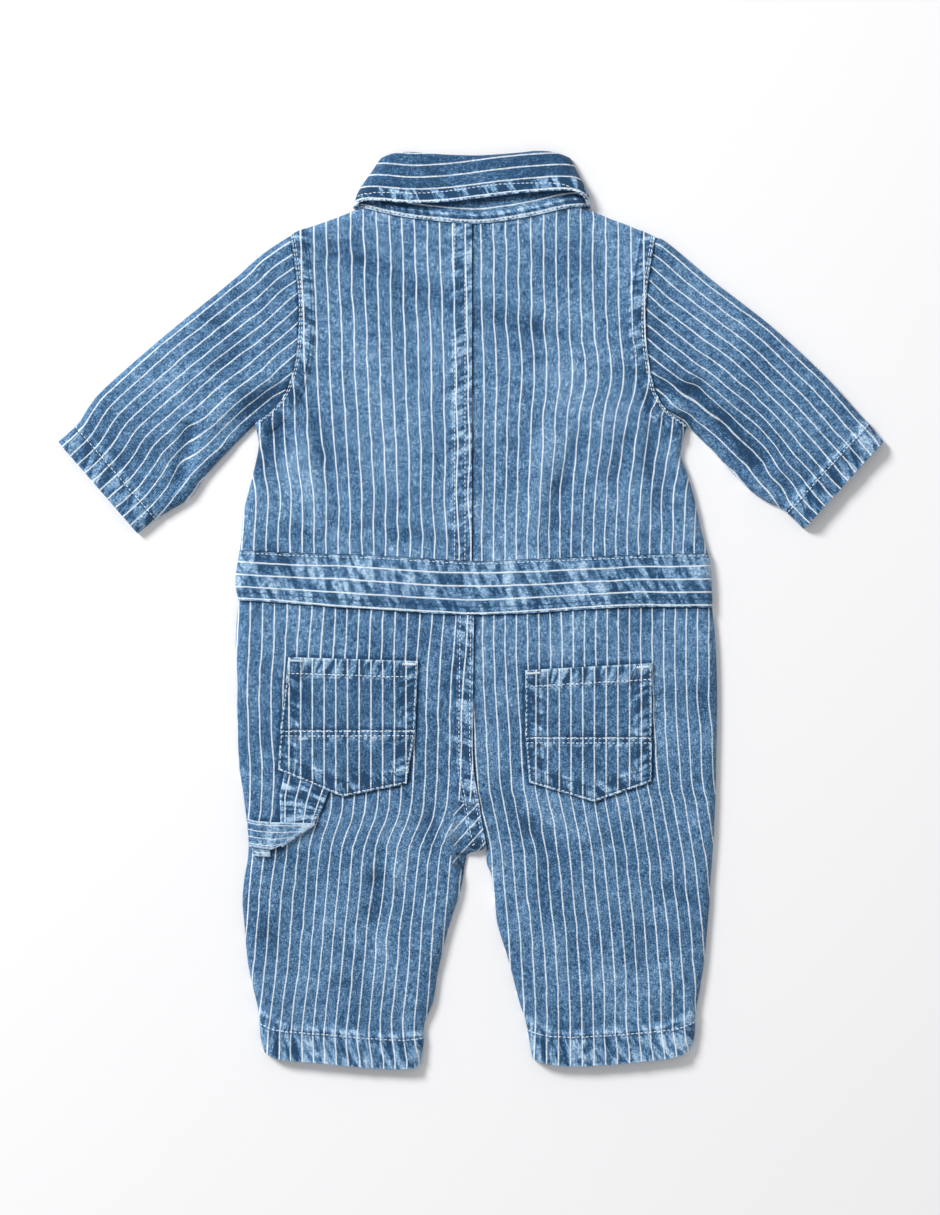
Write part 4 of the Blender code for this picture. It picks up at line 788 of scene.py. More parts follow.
@dataclass(frozen=True)
class Seam:
    """A sewn line: its raised band, its rows of stitches, its puckers, its wear and any shadow painted beside
    it.

    Attributes:
        line: The seam or folded edge.
        width: Width of the raised band beside it, 0 for none.
        height: Height of the band.
        rows: Distances of the stitch rows from the line.
        reach: How far past the band the puckers go.
        pucker: Height of the puckers.
        pitch: From one pucker to the next.
        slant: How far the puckers lean along the seam.
        rope: Strength of the light and dark blotches that washing leaves on a thick seam.
        halo: Width of the rubbed strip just past the band.
        wear_and_painted_shade: How pale the line itself is from wear, or below 0 how dark the shadow painted
            along it is.
        fringe: Half the width of that pale or dark line.
        shade: Tone of the whole band.
        seed: Start of the random draws.
    """

    line: Array
    width: float = 0.0
    height: float = 0.0
    rows: tuple[float, ...] = ()
    reach: float = 6.0
    pucker: float = 0.3
    pitch: float = 3.4
    slant: float = 0.4
    rope: float = 1.0
    halo: float = 0.0
    wear_and_painted_shade: float = 0.5
    fringe: float = 0.8
    shade: float = 0.0
    seed: int = 1

    GROOVE_HALF, GROOVE_DEPTH, GROOVE_TONE = 0.55, 0.3, -0.55     # the groove under a row of stitches: half its width, its depth, and the painted shade that darkens it
    RIPPLE_TONE = 0.35        # how much paler the puckers' crests are
    INNER_WORN, INNER_HALF = 0.6, 0.7     # how much paler from wear the band's inner edge is, next to the line itself
    HALO_TONE, BEYOND_TONE = 0.9, -0.5    # tones of the rubbed strip and of the cloth just past it
    ROPE_FADE = 1.6           # run in which the blotches fade past the band
    LOOSE_ROPE = 0.35         # how much of them there is round a line with no band
    SEED_STEP = 7.3           # how far one seam's blotches are from the next one's in the noise

    def relief(self, points: Array) -> tuple[Array, Array, Array, Array]:
        """What the seam does to the cloth around it.

        The band is a plateau with eased flanks, each stitch row a narrow bell-shaped groove, and
        the puckers an uneven wave along the seam under a bell across it.

        Args:
            points: Flat points of the cloth.

        Returns:
            The height added, the tone from dark to pale, the strength of the blotches, and the
            place along and across the seam in blotches.
        """
        away, run = measured(points, self.line, self.width + 3 * self.reach)
        outside = np.clip(away - self.width, 0, None)
        band = np.clip(1 - outside / STEP, 0, 1)
        bell = np.exp(-(outside / self.reach) ** 2)
        ripple = wave(run + self.slant * away, self.pitch, self.seed)
        groove = sum((np.exp(-((away - row) / self.GROOVE_HALF) ** 2) for row in self.rows),
                     np.zeros_like(away))
        height = self.height * band ** 2 * (3 - 2 * band) if self.width else 0.0
        height = height - self.GROOVE_DEPTH * groove + self.pucker * ripple * bell
        tone = self.wear_and_painted_shade * np.exp(-(away / self.fringe) ** 2) + self.shade * band
        # painted shade in the stitch grooves, and paler pucker crests from wear
        tone = tone + self.GROOVE_TONE * groove + self.RIPPLE_TONE * ripple * bell
        if self.width:
            tone += self.INNER_WORN * self.wear_and_painted_shade * np.exp(-((away - self.width) / self.INNER_HALF) ** 2)
        if self.halo:
            strip_share = np.clip(1 - np.abs(away - self.width - self.halo / 2) / (0.7 * self.halo), 0, 1)
            tone += self.HALO_TONE * strip_share * (0.75 + 0.25 * wave(run, 2.0, self.seed + 1))
            beyond = np.exp(-((away - self.width - 1.9 * self.halo) / self.halo) ** 2)
            tone += self.BEYOND_TONE * beyond * np.clip(wave(run, 3.0, self.seed + 2), 0, 1)
        if self.width:
            rope = self.rope * np.exp(-(outside / self.ROPE_FADE) ** 2)
        else:
            rope = self.LOOSE_ROPE * self.rope * bell
        place = np.stack([run + self.slant * away, away], axis=-1) / BLOTCH + self.seed * self.SEED_STEP
        return height, tone, rope, place


class Walls(NamedTuple):
    """A layer of cloth: its outer and inner points, its tone, its blotches and where they are."""

    outer: Array
    inner: Array
    tone: Array
    rope: Array
    place: Array


def sewn_cloth(points: Array, seams: Sequence[Seam] = (), crown: HeightMap = lying_height,
               rolls: Sequence[Roll] = UPPER_ROLLS, lift: float = 0.0, shade: float = 0.0) -> Walls:
    """A layer of the upper cloth with the relief of its seams outside over a plain inside.

    Args:
        points: Flat grid of the piece.
        seams: The seams in it and round it.
        crown: Height of the cloth before it is rounded off.
        rolls: The edges that it rounds off along.
        lift: Distance of its inside from that height.
        shade: Tone of the whole piece.

    Returns:
        The two walls and the wear.
    """
    base = at_height(points, surface(points, crown, rolls))
    normal = upward_normals(base)
    height, rope = np.zeros(points.shape[:-1]), np.zeros(points.shape[:-1])
    tone, place = folded(points)[1] + shade, np.zeros(points.shape)
    for seam in seams:
        added, toned, roped, placed = seam.relief(points)
        place = np.where((roped > rope)[..., None], placed, place)
        height, tone, rope = height + added, tone + toned, np.maximum(rope, roped)
    fade = np.clip(normal[..., 2:], 0, 1)
    outer_lift = lift + WALL if lift else 0.0
    inner_lift = lift if lift else -WALL
    outer = base + normal * (outer_lift + height[..., None] * fade)
    return Walls(outer, base + normal * inner_lift, tone, rope, place)


def plain_cloth(points: Array, floor: float = 0.0, rolls: Sequence[Roll] = LOWER_ROLLS) -> Walls:
    """The flat lower side of a tube, rounded up along its edges."""
    outer = at_height(points, surface(points, level(floor), rolls))
    still = np.zeros(points.shape[:-1])
    return Walls(outer, outer + WALL * upward_normals(outer), still, still, np.zeros(points.shape))


def stripes_by_grain(points: Array, grain: Sequence[Grain], count: int) -> Array:
    """Stripe numbers across and pitches along, from a table of where two stripes run.

    Args:
        points: Flat points.
        grain: The table, from the top level down.
        count: Stripes from the inner to the outer one.

    Returns:
        U, a whole number on each stripe, and V.
    """
    inner = smooth([Spot(row.inner, row.y) for row in grain])[::-1]
    outer = smooth([Spot(row.outer, row.y) for row in grain])[::-1]
    first = np.interp(points[..., 1], inner[:, 1], inner[:, 0])
    last = np.interp(points[..., 1], outer[:, 1], outer[:, 0])
    across = (points[..., 0] - first) / (last - first) * count
    across = across + 0.07 * mottle(points, 24.0, 21) + 0.04 * mottle(points, 9.0, 22)
    across = across + 0.1 * folded(points)[0]
    return np.stack([across, points[..., 1] / PITCH], axis=-1)


def slanting_at_crotch(points: Array, stripes: Array) -> Array:
    """The stripes of the left leg, cut on the slant in the corner of the crotch.

    There the stripe number is the distance across lines at the slant's angle, over their pitch.
    """
    x, y = points[..., 0], points[..., 1]
    angle = np.radians(CROTCH_SLANT)
    offset = (x - CROTCH_STRIPE.x) * np.sin(angle) - (y - CROTCH_STRIPE.y) * np.cos(angle)
    slanting = np.stack([offset / CROTCH_PITCH, (x + y) / PITCH], axis=-1)
    corner = (x > CROTCH_CORNER.x) & (y < CROTCH_CORNER.y) & (y > CROTCH[-1].y - PITCH)
    return np.where(corner[..., None], slanting, stripes)


# ---------------------------------------------------------------------------------------------
# Pieces of cloth


def new_object(name: str, points: Array, faces: Array, material: bpy.types.Material) -> bpy.types.Object:
    """A smooth-shaded object of the scene.

    Args:
        name: Name of the object and its mesh.
        points: Corners in millimetres.
        faces: Corner numbers, one row a face.
        material: Its only material.

    Returns:
        The object, which stands at the origin.
    """
    mesh = bpy.data.meshes.new(name)
    mesh.from_pydata((points * MM).tolist(), [], faces.tolist())
    mesh.materials.append(material)
    mesh.shade_smooth()
    piece = bpy.data.objects.new(name, mesh)
    bpy.context.collection.objects.link(piece)
    return piece


def cells(index: Array) -> Array:
    """Corner numbers of the cells of a grid of numbers, anticlockwise, one row a cell."""
    return np.stack([index[:-1, :-1], index[:-1, 1:], index[1:, 1:], index[1:, :-1]], axis=-1).reshape(-1, 4)


@dataclass
class Cloth:
    """One cut piece of denim: a closed wall on a grid, with its rows along it and its columns across.

    Attributes:
        name: Name of the piece, also that of the CAD node it stands for.
        walls: Its layer, or the upper side of its tube.
        stripes: U and V of each point of the layer, in stripe pitches.
        under: The lower side of a tube, on the same grid.
        run_across: Whether the stripes run across the grid and keep their number round the tube.
    """

    name: str
    walls: Walls
    stripes: Array
    under: Walls | None = None
    run_across: bool = False

    def grids(self) -> tuple[Walls, Array]:
        """The walls and the stripes, a tube's all round it; the stripes then have a column more."""
        if self.under is None:
            return self.walls, self.stripes
        around = Walls(*(np.concatenate([upper, lower[:, -2:0:-1]], axis=1)
                         for upper, lower in zip(self.walls, self.under)))
        turned = 2 * self.stripes[:, -1:] - self.stripes[:, ::-1]
        if self.run_across:
            turned[..., 0] = self.stripes[:, ::-1, 0]
        return around, np.concatenate([self.stripes, turned[:, 1:]], axis=1)

    def flat_size(self) -> tuple[float, float, float]:
        """Width, length and area in metres of the piece laid flat, all round on a tube.

        The width is the longest row, the length the longest column, and the area the sum of the
        cells, all measured halfway through the wall.
        """
        walls, _ = self.grids()
        middle = (walls.outer + walls.inner) / 2 * MM
        if self.under is not None:
            middle = np.concatenate([middle, middle[:, :1]], axis=1)
        width = np.linalg.norm(np.diff(middle, axis=1), axis=-1).sum(1).max()
        long = np.linalg.norm(np.diff(middle, axis=0), axis=-1).sum(0).max()
        one, two = middle[1:, 1:] - middle[:-1, :-1], middle[1:, :-1] - middle[:-1, 1:]
        area = np.linalg.norm(np.cross(one, two), axis=-1).sum() / 2
        return float(width), float(long), float(min(area, width * long))

    def build(self, material: bpy.types.Material) -> bpy.types.Object:
        """Makes the mesh: the outer cells, the inner cells turned over, and a rim between them.

        Args:
            material: The finish of the cloth.

        Returns:
            The object, which replaces the CAD node of its name.
        """
        walls, stripes = self.grids()
        outer, inner = walls.outer, walls.inner
        rows, columns = outer.shape[:2]
        index = np.arange(rows * columns).reshape(rows, columns)
        if self.under is not None:
            index = np.concatenate([index, index[:, :1]], axis=1)
        places = np.arange(index.size).reshape(index.shape)
        skip, rims = rows * columns, [(index[0], places[0]), (index[-1, ::-1], places[-1, ::-1])]
        if self.under is None:
            rims += [(index[::-1, 0], places[::-1, 0]), (index[:, -1], places[:, -1])]
        faces, corners = [cells(index), cells(index)[:, ::-1] + skip], [cells(places), cells(places)[:, ::-1]]
        for rim, place in rims:
            faces.append(np.stack([rim[1:], rim[:-1], rim[:-1] + skip, rim[1:] + skip], axis=-1))
            corners.append(np.stack([place[1:], place[:-1], place[:-1], place[1:]], axis=-1))
        faces, corners = np.vstack(faces), np.vstack(corners)
        facing = np.cross(np.gradient(outer, axis=1), np.gradient(outer, axis=0))
        if (facing * (outer - inner)).sum() < 0:
            faces, corners = faces[:, ::-1], corners[:, ::-1]
        piece = new_object(f"{self.name}_cloth", np.concatenate([outer.reshape(-1, 3), inner.reshape(-1, 3)]),
                           faces, material)
        for label, values, at in ((StripedDenim.STRIPE_MAP, stripes, corners.ravel()),
                                  (StripedDenim.SEAM_MAP, walls.place, faces.ravel() % skip)):
            layer = piece.data.uv_layers.new(name=label)
            layer.data.foreach_set("uv", values.reshape(-1, 2)[at].astype(np.float32).ravel())
        for label, values in (("tone", walls.tone), ("rope", walls.rope)):
            kept = piece.data.attributes.new(label, "FLOAT", "POINT")
            kept.data.foreach_set("value", np.tile(values.ravel(), 2).astype(np.float32))
        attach(piece, BODY)
        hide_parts(self.name)
        return piece

    def trace(self, edge: Edge, inset: float, start: float = 0.0, end: float | None = None) -> Array:
        """A line on the outer face at a distance in from an edge.

        Along every grid line that leaves the edge, the point is taken at which the flat distance
        from the edge reaches the inset.

        Args:
            edge: The edge that the line follows, from bottom to top or from left to right.
            inset: Its distance from the edge.
            start: Distance along the line at which to start.
            end: Distance at which to end, or None for the end of the line.

        Returns:
            Points of the line in space.
        """
        grid = self.walls.outer
        if edge in (Edge.BOTTOM, Edge.TOP):
            grid = grid.swapaxes(0, 1)
        if edge in (Edge.RIGHT, Edge.TOP):
            grid = grid[:, ::-1]
        steps = np.linalg.norm(np.diff(grid[..., :2], axis=1), axis=-1)
        away = np.concatenate([np.zeros((len(grid), 1)), np.cumsum(steps, axis=1)], axis=1)
        low = np.clip((away <= inset).sum(1) - 1, 0, grid.shape[1] - 2)
        rows = np.arange(len(grid))
        share = (inset - away[rows, low]) / (away[rows, low + 1] - away[rows, low] + 1e-9)
        line = grid[rows, low] + (grid[rows, low + 1] - grid[rows, low]) * share[:, None]
        return portion(line, start, end)


# ---------------------------------------------------------------------------------------------
# Sewing


@dataclass
class Sewing:
    """The stitches of one part of the garment, joined in one mesh of small beads.

    Attributes:
        name: Name of the piece.
        seed: Start of the random draws.
        thread: Width of a stitch.
        beads: The stitches so far: centre, direction and length of each.
    """

    name: str
    seed: int
    thread: float = 0.5
    beads: list[tuple[Array, Array, Array]] = field(default_factory=list)

    BEAD_SIDES = 6
    BEAD_BULGE = 0.3          # how far from a stitch's middle it has its full width

    def row(self, path: Array, pitch: float = 2.7, stitch: float = 2.15) -> None:
        """Adds a row of stitches.

        Args:
            path: Points of the row in space.
            pitch: From one stitch to the next.
            stitch: Length of a stitch.
        """
        run = runs(path)
        count = max(2, int(run[-1] / pitch))
        places = (np.arange(count) + 0.5) * run[-1] / count
        ahead = mixed(path, run, places + 0.4) - mixed(path, run, places - 0.4)
        ahead /= np.linalg.norm(ahead, axis=1, keepdims=True) + 1e-9
        draws = np.random.default_rng(self.seed + len(self.beads))
        aside = np.cross(ahead, (0.0, 0.0, 1.0))
        ahead = ahead + aside * draws.normal(0, 0.05, (count, 1))
        centre = mixed(path, run, places) + aside * draws.normal(0, 0.05, (count, 1))
        self.beads.append((centre, ahead, stitch * draws.uniform(0.9, 1.06, count)))

    def tack(self, start: Array, end: Array, width: float = 1.7, pitch: float = 0.55) -> None:
        """Adds a bar tack: close stitches laid side by side from a start to an end.

        Args:
            start: Where the bar starts.
            end: Where it ends.
            width: Length of its stitches, across the bar.
            pitch: From one to the next.
        """
        reach = np.linalg.norm(end - start)
        count = int(reach / pitch) + 1
        centre = start + (end - start) * np.linspace(0, 1, count)[:, None] + (0, 0, 0.25)
        aside = np.cross((end - start) / reach, (0.0, 0.0, 1.0))
        draws = np.random.default_rng(self.seed + len(self.beads))
        ahead = aside + (end - start) / reach * 0.25 * np.where(np.arange(count) % 2, 1, -1)[:, None]
        self.beads.append((centre, ahead, width * draws.uniform(0.85, 1.1, count)))

    def build(self, material: bpy.types.Material) -> bpy.types.Object:
        """Makes one mesh of every stitch.

        A bead is two rings of points round its length and a point at each end, stretched along the
        stitch's direction and as wide as the thread.

        Args:
            material: The finish of the thread.

        Returns:
            The object.
        """
        centre, ahead, reach = (np.concatenate(parts) for parts in zip(*self.beads))
        turn = np.arange(self.BEAD_SIDES) / self.BEAD_SIDES * 2 * np.pi
        ring = np.stack([np.zeros_like(turn), np.cos(turn), np.sin(turn)], axis=-1) / 2
        unit = np.vstack([(-0.5, 0, 0), ring - (self.BEAD_BULGE, 0, 0), ring + (self.BEAD_BULGE, 0, 0),
                          (0.5, 0, 0)])
        ahead = ahead / np.linalg.norm(ahead, axis=1, keepdims=True)
        aside = np.cross((0.0, 0.0, 1.0), ahead)
        aside /= np.linalg.norm(aside, axis=1, keepdims=True)
        above = np.cross(ahead, aside)
        points = (centre[:, None] + unit[:, :1] * (ahead * reach[:, None])[:, None]
                  + unit[:, 1:2] * self.thread * aside[:, None] + unit[:, 2:] * self.thread * above[:, None])
        near, last = np.arange(self.BEAD_SIDES), 2 * self.BEAD_SIDES + 1
        far = (near + 1) % self.BEAD_SIDES
        first_ring, last_ring = near + 1, near + 1 + self.BEAD_SIDES
        first_next, last_next = far + 1, far + 1 + self.BEAD_SIDES
        faces = np.vstack([
            np.stack([np.zeros_like(near), first_next, first_ring], axis=-1),
            np.stack([first_ring, first_next, last_next], axis=-1),
            np.stack([first_ring, last_next, last_ring], axis=-1),
            np.stack([last_ring, last_next, np.full_like(near, last)], axis=-1),
        ])
        faces = (faces[None] + (np.arange(len(points)) * (last + 1))[:, None, None]).reshape(-1, 3)
        piece = new_object(self.name, points.reshape(-1, 3), faces, material)
        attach(piece, BODY)
        return piece


# ---------------------------------------------------------------------------------------------
# Finishes


class Wire:
    """A number that runs through a material: arithmetic on it adds Math nodes."""

    def __init__(self, bench: "Bench", socket: bpy.types.NodeSocket) -> None:
        """Keeps the material's bench and the socket that gives the number."""
        self.bench, self.socket = bench, socket

    def math(self, operation: str, *others: Any, clamp: bool = False) -> "Wire":
        """One Math node on this number and others."""
        node = self.bench.node("ShaderNodeMath", {"operation": operation, "use_clamp": clamp},
                               dict(enumerate((self, *others))))
        return Wire(self.bench, node.outputs[0])

    def __add__(self, other: Any) -> "Wire":
        """This plus another."""
        return self.math("ADD", other)

    def __sub__(self, other: Any) -> "Wire":
        """This less another."""
        return self.math("SUBTRACT", other)

    def __mul__(self, other: Any) -> "Wire":
        """This times another."""
        return self.math("MULTIPLY", other)

    __radd__ = __add__

    def fraction(self) -> "Wire":
        """The part behind the point."""
        return self.math("FRACT")

    def size(self) -> "Wire":
        """The number without its sign."""
        return self.math("ABSOLUTE")

    def clamped(self) -> "Wire":
        """The number held between 0 and 1."""
        return self.math("ADD", 0.0, clamp=True)

    def between(self, low: float, high: float) -> "Wire":
        """0 at low, 1 at high and eased between them; low may be the larger one."""
        node = self.bench.node("ShaderNodeMapRange", {"interpolation_type": "SMOOTHSTEP"},
                               {"Value": self, "From Min": low, "From Max": high})
        return Wire(self.bench, node.outputs[0])


class Bench:
    """The node tree of one material, and the one method that puts nodes into it."""

    def __init__(self, name: str) -> None:
        """Makes an empty material of that name."""
        self.material = bpy.data.materials.new(name)
        self.material.use_nodes = True
        self.tree = self.material.node_tree
        self.tree.nodes.clear()

    def node(self, kind: str, settings: dict[str, Any] | None = None,
             sockets: dict[str | int, Any] | None = None) -> bpy.types.Node:
        """Adds a node.

        Args:
            kind: Its type.
            settings: Its properties, set first; "stops" are a colour ramp's places and colours.
            sockets: Values, wires or sockets for its inputs, by name or number.

        Returns:
            The node.
        """
        node = self.tree.nodes.new(kind)
        for label, value in (settings or {}).items():
            if label == "stops":
                stops = node.color_ramp.elements
                while len(stops) < len(value):
                    stops.new(0.5)
                for stop, (place, colour) in zip(stops, value):
                    stop.position, stop.color = place, (*colour, 1.0)
            else:
                setattr(node, label, value)
        for label, value in (sockets or {}).items():
            value = value.socket if isinstance(value, Wire) else value
            if isinstance(value, bpy.types.NodeSocket):
                self.tree.links.new(value, node.inputs[label])
            else:
                node.inputs[label].default_value = value
        return node

    def wire(self, kind: str, output: str | int, settings: dict[str, Any] | None = None,
             sockets: dict[str | int, Any] | None = None) -> Wire:
        """Adds a node and gives one of its outputs as a number."""
        return Wire(self, self.node(kind, settings, sockets).outputs[output])

    def place(self) -> bpy.types.NodeSocket:
        """The place on the piece, in metres."""
        return self.node("ShaderNodeTexCoord").outputs["Object"]

    def noise(self, place: Any, scale: float, detail: float = 2.0, roughness: float = 0.55) -> Wire:
        """Smooth noise from 0 to 1 with a mean of a half, at a scale in cells a metre or a pitch."""
        return self.wire("ShaderNodeTexNoise", "Fac", None,
                         {"Vector": place, "Scale": scale, "Detail": detail, "Roughness": roughness})

    def blend(self, share: Any, below: Any, above: Any) -> bpy.types.NodeSocket:
        """Mixes two colours by a share."""
        node = self.node("ShaderNodeMix", {"data_type": "RGBA"}, {0: share, 6: below, 7: above})
        return node.outputs[2]

    def finish(self, colour: Any, roughness: Any, bump: Wire, bump_height: float,
               constants: dict[str, Any] | None = None) -> bpy.types.Material:
        """Closes the material with a Principled shader.

        Args:
            colour: Base colour.
            roughness: Roughness.
            bump: Height of the surface's grain, from 0 to 1.
            bump_height: What 1 of it stands for, in metres.
            constants: Values of the shader's other sockets.

        Returns:
            The material.
        """
        relief = self.node("ShaderNodeBump", None, {"Strength": 1.0, "Distance": bump_height, "Height": bump})
        shader = self.node("ShaderNodeBsdfPrincipled", None,
                           {"Base Color": colour, "Roughness": roughness, "Normal": relief.outputs[0],
                            **(constants or {})})
        self.node("ShaderNodeOutputMaterial", None, {"Surface": shader.outputs[0]})
        return self.material


class Mottling(NamedTuple):
    """One noise in the cloth, and how much of it goes into the wear and into the relief."""

    scale: float
    detail: float
    roughness: float
    in_wear: float
    in_relief: float


@dataclass(frozen=True)
class StripedDenim:
    """Washed blue denim with thin white stripes.

    Attributes:
        shades: Colours of the cloth from its darkest to its most faded.
        stripe: Colour of the stripes.
        stripe_half: Half the width of a stripe, in pitches.
        twill: Twill lines to a pitch, across and along.
        slub: Thick and thin places of the yarn to a pitch, across and along.
        dashes: Dashes of a stripe to a pitch, along and across.
        mottlings: The wash, its patches, the specks and the grain of the yarn.
        plain_wear: Wear of the cloth where nothing adds to it.
        slub_wear: How much the slubs add to it.
        twill_wear: How much the twill does.
        rope_wear: How much the blotches of the seams do.
        tone_wear: How much the tone attribute does, with its wear and its painted shade and highlight.
        relief: Height of the surface's grain, in metres.
    """

    shades: tuple[tuple[float, tuple[float, float, float]], ...] = (
        (0.0, (0.012, 0.055, 0.130)), (0.25, (0.056, 0.152, 0.300)), (0.5, (0.116, 0.252, 0.440)),
        (0.75, (0.215, 0.382, 0.590)), (1.0, (0.540, 0.710, 0.870)),
    )
    stripe: tuple[float, float, float, float] = (0.86, 0.94, 1.0, 1.0)
    stripe_half: float = 0.076
    twill: float = 6.5
    slub: tuple[float, float] = (11.0, 1.4)
    dashes: tuple[float, float] = (4.4, 3.0)
    mottlings: tuple[Mottling, ...] = (
        Mottling(24.0, 3.0, 0.55, 0.8, 0.0), Mottling(110.0, 3.0, 0.6, 0.5, 0.6),
        Mottling(420.0, 2.0, 0.6, 0.8, 0.8), Mottling(1000.0, 2.0, 0.7, 1.9, 1.2),
    )
    plain_wear: float = 0.395
    slub_wear: float = 1.0
    twill_wear: float = 0.46
    rope_wear: float = 0.62
    tone_wear: float = 0.42
    relief: float = 0.0003

    STRIPE_MAP = "stripes"
    SEAM_MAP = "seams"

    def build(self) -> bpy.types.Material:
        """Makes the material.

        One number, from dark to faded, is summed from the mottling of the wash, the grain and slubs of the
        yarn, the twill, the blotches across the seams and the tone attribute, which holds the piece's wear
        and the shade and highlight painted into its folds and beside its seams; a ramp turns it into colour.
        The stripes are broken into the short dashes of the twill.

        Returns:
            The material.
        """
        bench = Bench("denim_striped")
        place = bench.place()
        stripes = bench.node("ShaderNodeUVMap", {"uv_map": self.STRIPE_MAP}).outputs[0]
        seams = bench.node("ShaderNodeUVMap", {"uv_map": self.SEAM_MAP}).outputs[0]
        parts = bench.node("ShaderNodeSeparateXYZ", None, {0: stripes})
        across, along = Wire(bench, parts.outputs[0]), Wire(bench, parts.outputs[1])
        tone = bench.wire("ShaderNodeAttribute", "Fac", {"attribute_name": "tone"})
        rope = bench.wire("ShaderNodeAttribute", "Fac", {"attribute_name": "rope"})

        noises = [bench.noise(place, kind.scale, kind.detail, kind.roughness) - 0.5
                  for kind in self.mottlings]
        mottled = sum(noise * kind.in_wear for noise, kind in zip(noises, self.mottlings))
        rough = sum(noise * kind.in_relief for noise, kind in zip(noises, self.mottlings))
        specks, grain = noises[-2:]
        threads = bench.node("ShaderNodeCombineXYZ", None,
                             {0: across * self.slub[0], 1: along * self.slub[1]})
        slubs = bench.noise(threads.outputs[0], 1.0, 2.0) - 0.5
        twill = (((across + along) * self.twill).fraction() - 0.5).size() * 2.0
        crosswise = bench.node("ShaderNodeMapping", {"vector_type": "POINT"},
                               {"Vector": seams, "Scale": (1.0, 0.3, 1.0)})
        bars = (bench.noise(crosswise.outputs[0], 1.0, 2.0, 0.5).between(0.40, 0.60) - 0.5) * rope
        # from dark to faded; the tone attribute brings painted shade and highlight into it
        wear_and_painted_shade = (mottled + slubs * self.slub_wear + (twill - 0.5) * self.twill_wear
                + bars * self.rope_wear + tone * self.tone_wear + self.plain_wear)
        ramp = bench.node("ShaderNodeValToRGB", {"stops": self.shades}, {0: wear_and_painted_shade.clamped()})

        uneven = (bench.noise(threads.outputs[0], 0.8, 1.0) - 0.5) * 0.05
        off_stripe = ((across + uneven + 0.5).fraction() - 0.5).size()
        dashes = (along * self.dashes[0] + across * self.dashes[1]).fraction()
        dashed = ((dashes - 0.5).size() * 2.0).between(0.05, 0.5) * 0.3 + 0.7
        stripe = off_stripe.between(self.stripe_half, self.stripe_half * 0.5) * dashed
        stripe = stripe * (grain * 1.6 + specks * 0.8 + tone * 0.15 + 0.95).clamped()
        colour = bench.blend(stripe.clamped(), ramp.outputs[0], self.stripe)

        height = rough + twill * 0.3 + slubs * 0.6 + stripe * 0.3 + bars * 0.5 + 0.5
        return bench.finish(colour, grain * 0.15 + 0.86, height, self.relief,
                            {"Sheen Weight": 0.12, "Sheen Roughness": 0.5, "Specular IOR Level": 0.25})


@dataclass(frozen=True)
class Thread:
    """Cotton sewing thread, pale unless another colour is given.

    Attributes:
        name: Name of the material.
        clean: Its clean colour.
        soiled: Its colour where the indigo has rubbed off on it.
    """

    name: str = "thread_pale"
    clean: tuple[float, float, float, float] = (0.86, 0.95, 1.0, 1.0)
    soiled: tuple[float, float, float, float] = (0.54, 0.70, 0.86, 1.0)

    def build(self) -> bpy.types.Material:
        """Makes the material: two colours mixed by noise, over a fine twist."""
        bench = Bench(self.name)
        stain, twist = bench.noise(bench.place(), 140.0), bench.noise(bench.place(), 2600.0, 1.0)
        colour = bench.blend(stain.between(0.45, 0.75), self.clean, self.soiled)
        return bench.finish(colour, twist * 0.2 + 0.7, twist, 0.00008, {"Specular IOR Level": 0.3})


INDIGO_THREAD = Thread("thread_indigo", (0.030, 0.085, 0.190, 1.0), (0.070, 0.160, 0.310, 1.0))


@dataclass(frozen=True)
class ButtonMetal:
    """Dull grey of the buttons.

    Attributes:
        bright: Colour of the rubbed places.
        dull: Colour of the rest.
    """

    bright: tuple[float, float, float, float] = (0.62, 0.63, 0.64, 1.0)
    dull: tuple[float, float, float, float] = (0.40, 0.41, 0.43, 1.0)

    def build(self) -> bpy.types.Material:
        """Makes the material: clouded grey with fine scratches."""
        bench = Bench("button_grey")
        cloud, scratch = bench.noise(bench.place(), 420.0, 3.0), bench.noise(bench.place(), 2400.0)
        colour = bench.blend(cloud.between(0.35, 0.65), self.dull, self.bright)
        return bench.finish(colour, cloud * 0.2 + 0.32, scratch, 0.00003)


@dataclass(frozen=True)
class FloorPaper:
    """Pale matt floor.

    Attributes:
        light: Its colour.
        shade: Its slightly darker colour.
    """

    light: tuple[float, float, float, float] = (0.93, 0.93, 0.94, 1.0)
    shade: tuple[float, float, float, float] = (0.90, 0.90, 0.915, 1.0)

    def build(self) -> bpy.types.Material:
        """Makes the material: two whites mixed by slow noise."""
        bench = Bench("floor_pale")
        cloud = bench.noise(bench.place(), 2.0)
        return bench.finish(bench.blend(cloud, self.light, self.shade), cloud * 0.05 + 0.9, cloud, 0.00001)


# ---------------------------------------------------------------------------------------------
# Bodice and sleeves


def left_part(curve: Array, x: float) -> Array:
    """The part of a polyline that runs left to right up to the given X."""
    return np.vstack([curve[curve[:, 0] < x], (x, np.interp(x, curve[:, 0], curve[:, 1]))])


def right_part(curve: Array, x: float) -> Array:
    """The part of a polyline that runs left to right from the given X on."""
    return np.vstack([(x, np.interp(x, curve[:, 0], curve[:, 1])), curve[curve[:, 0] > x]])


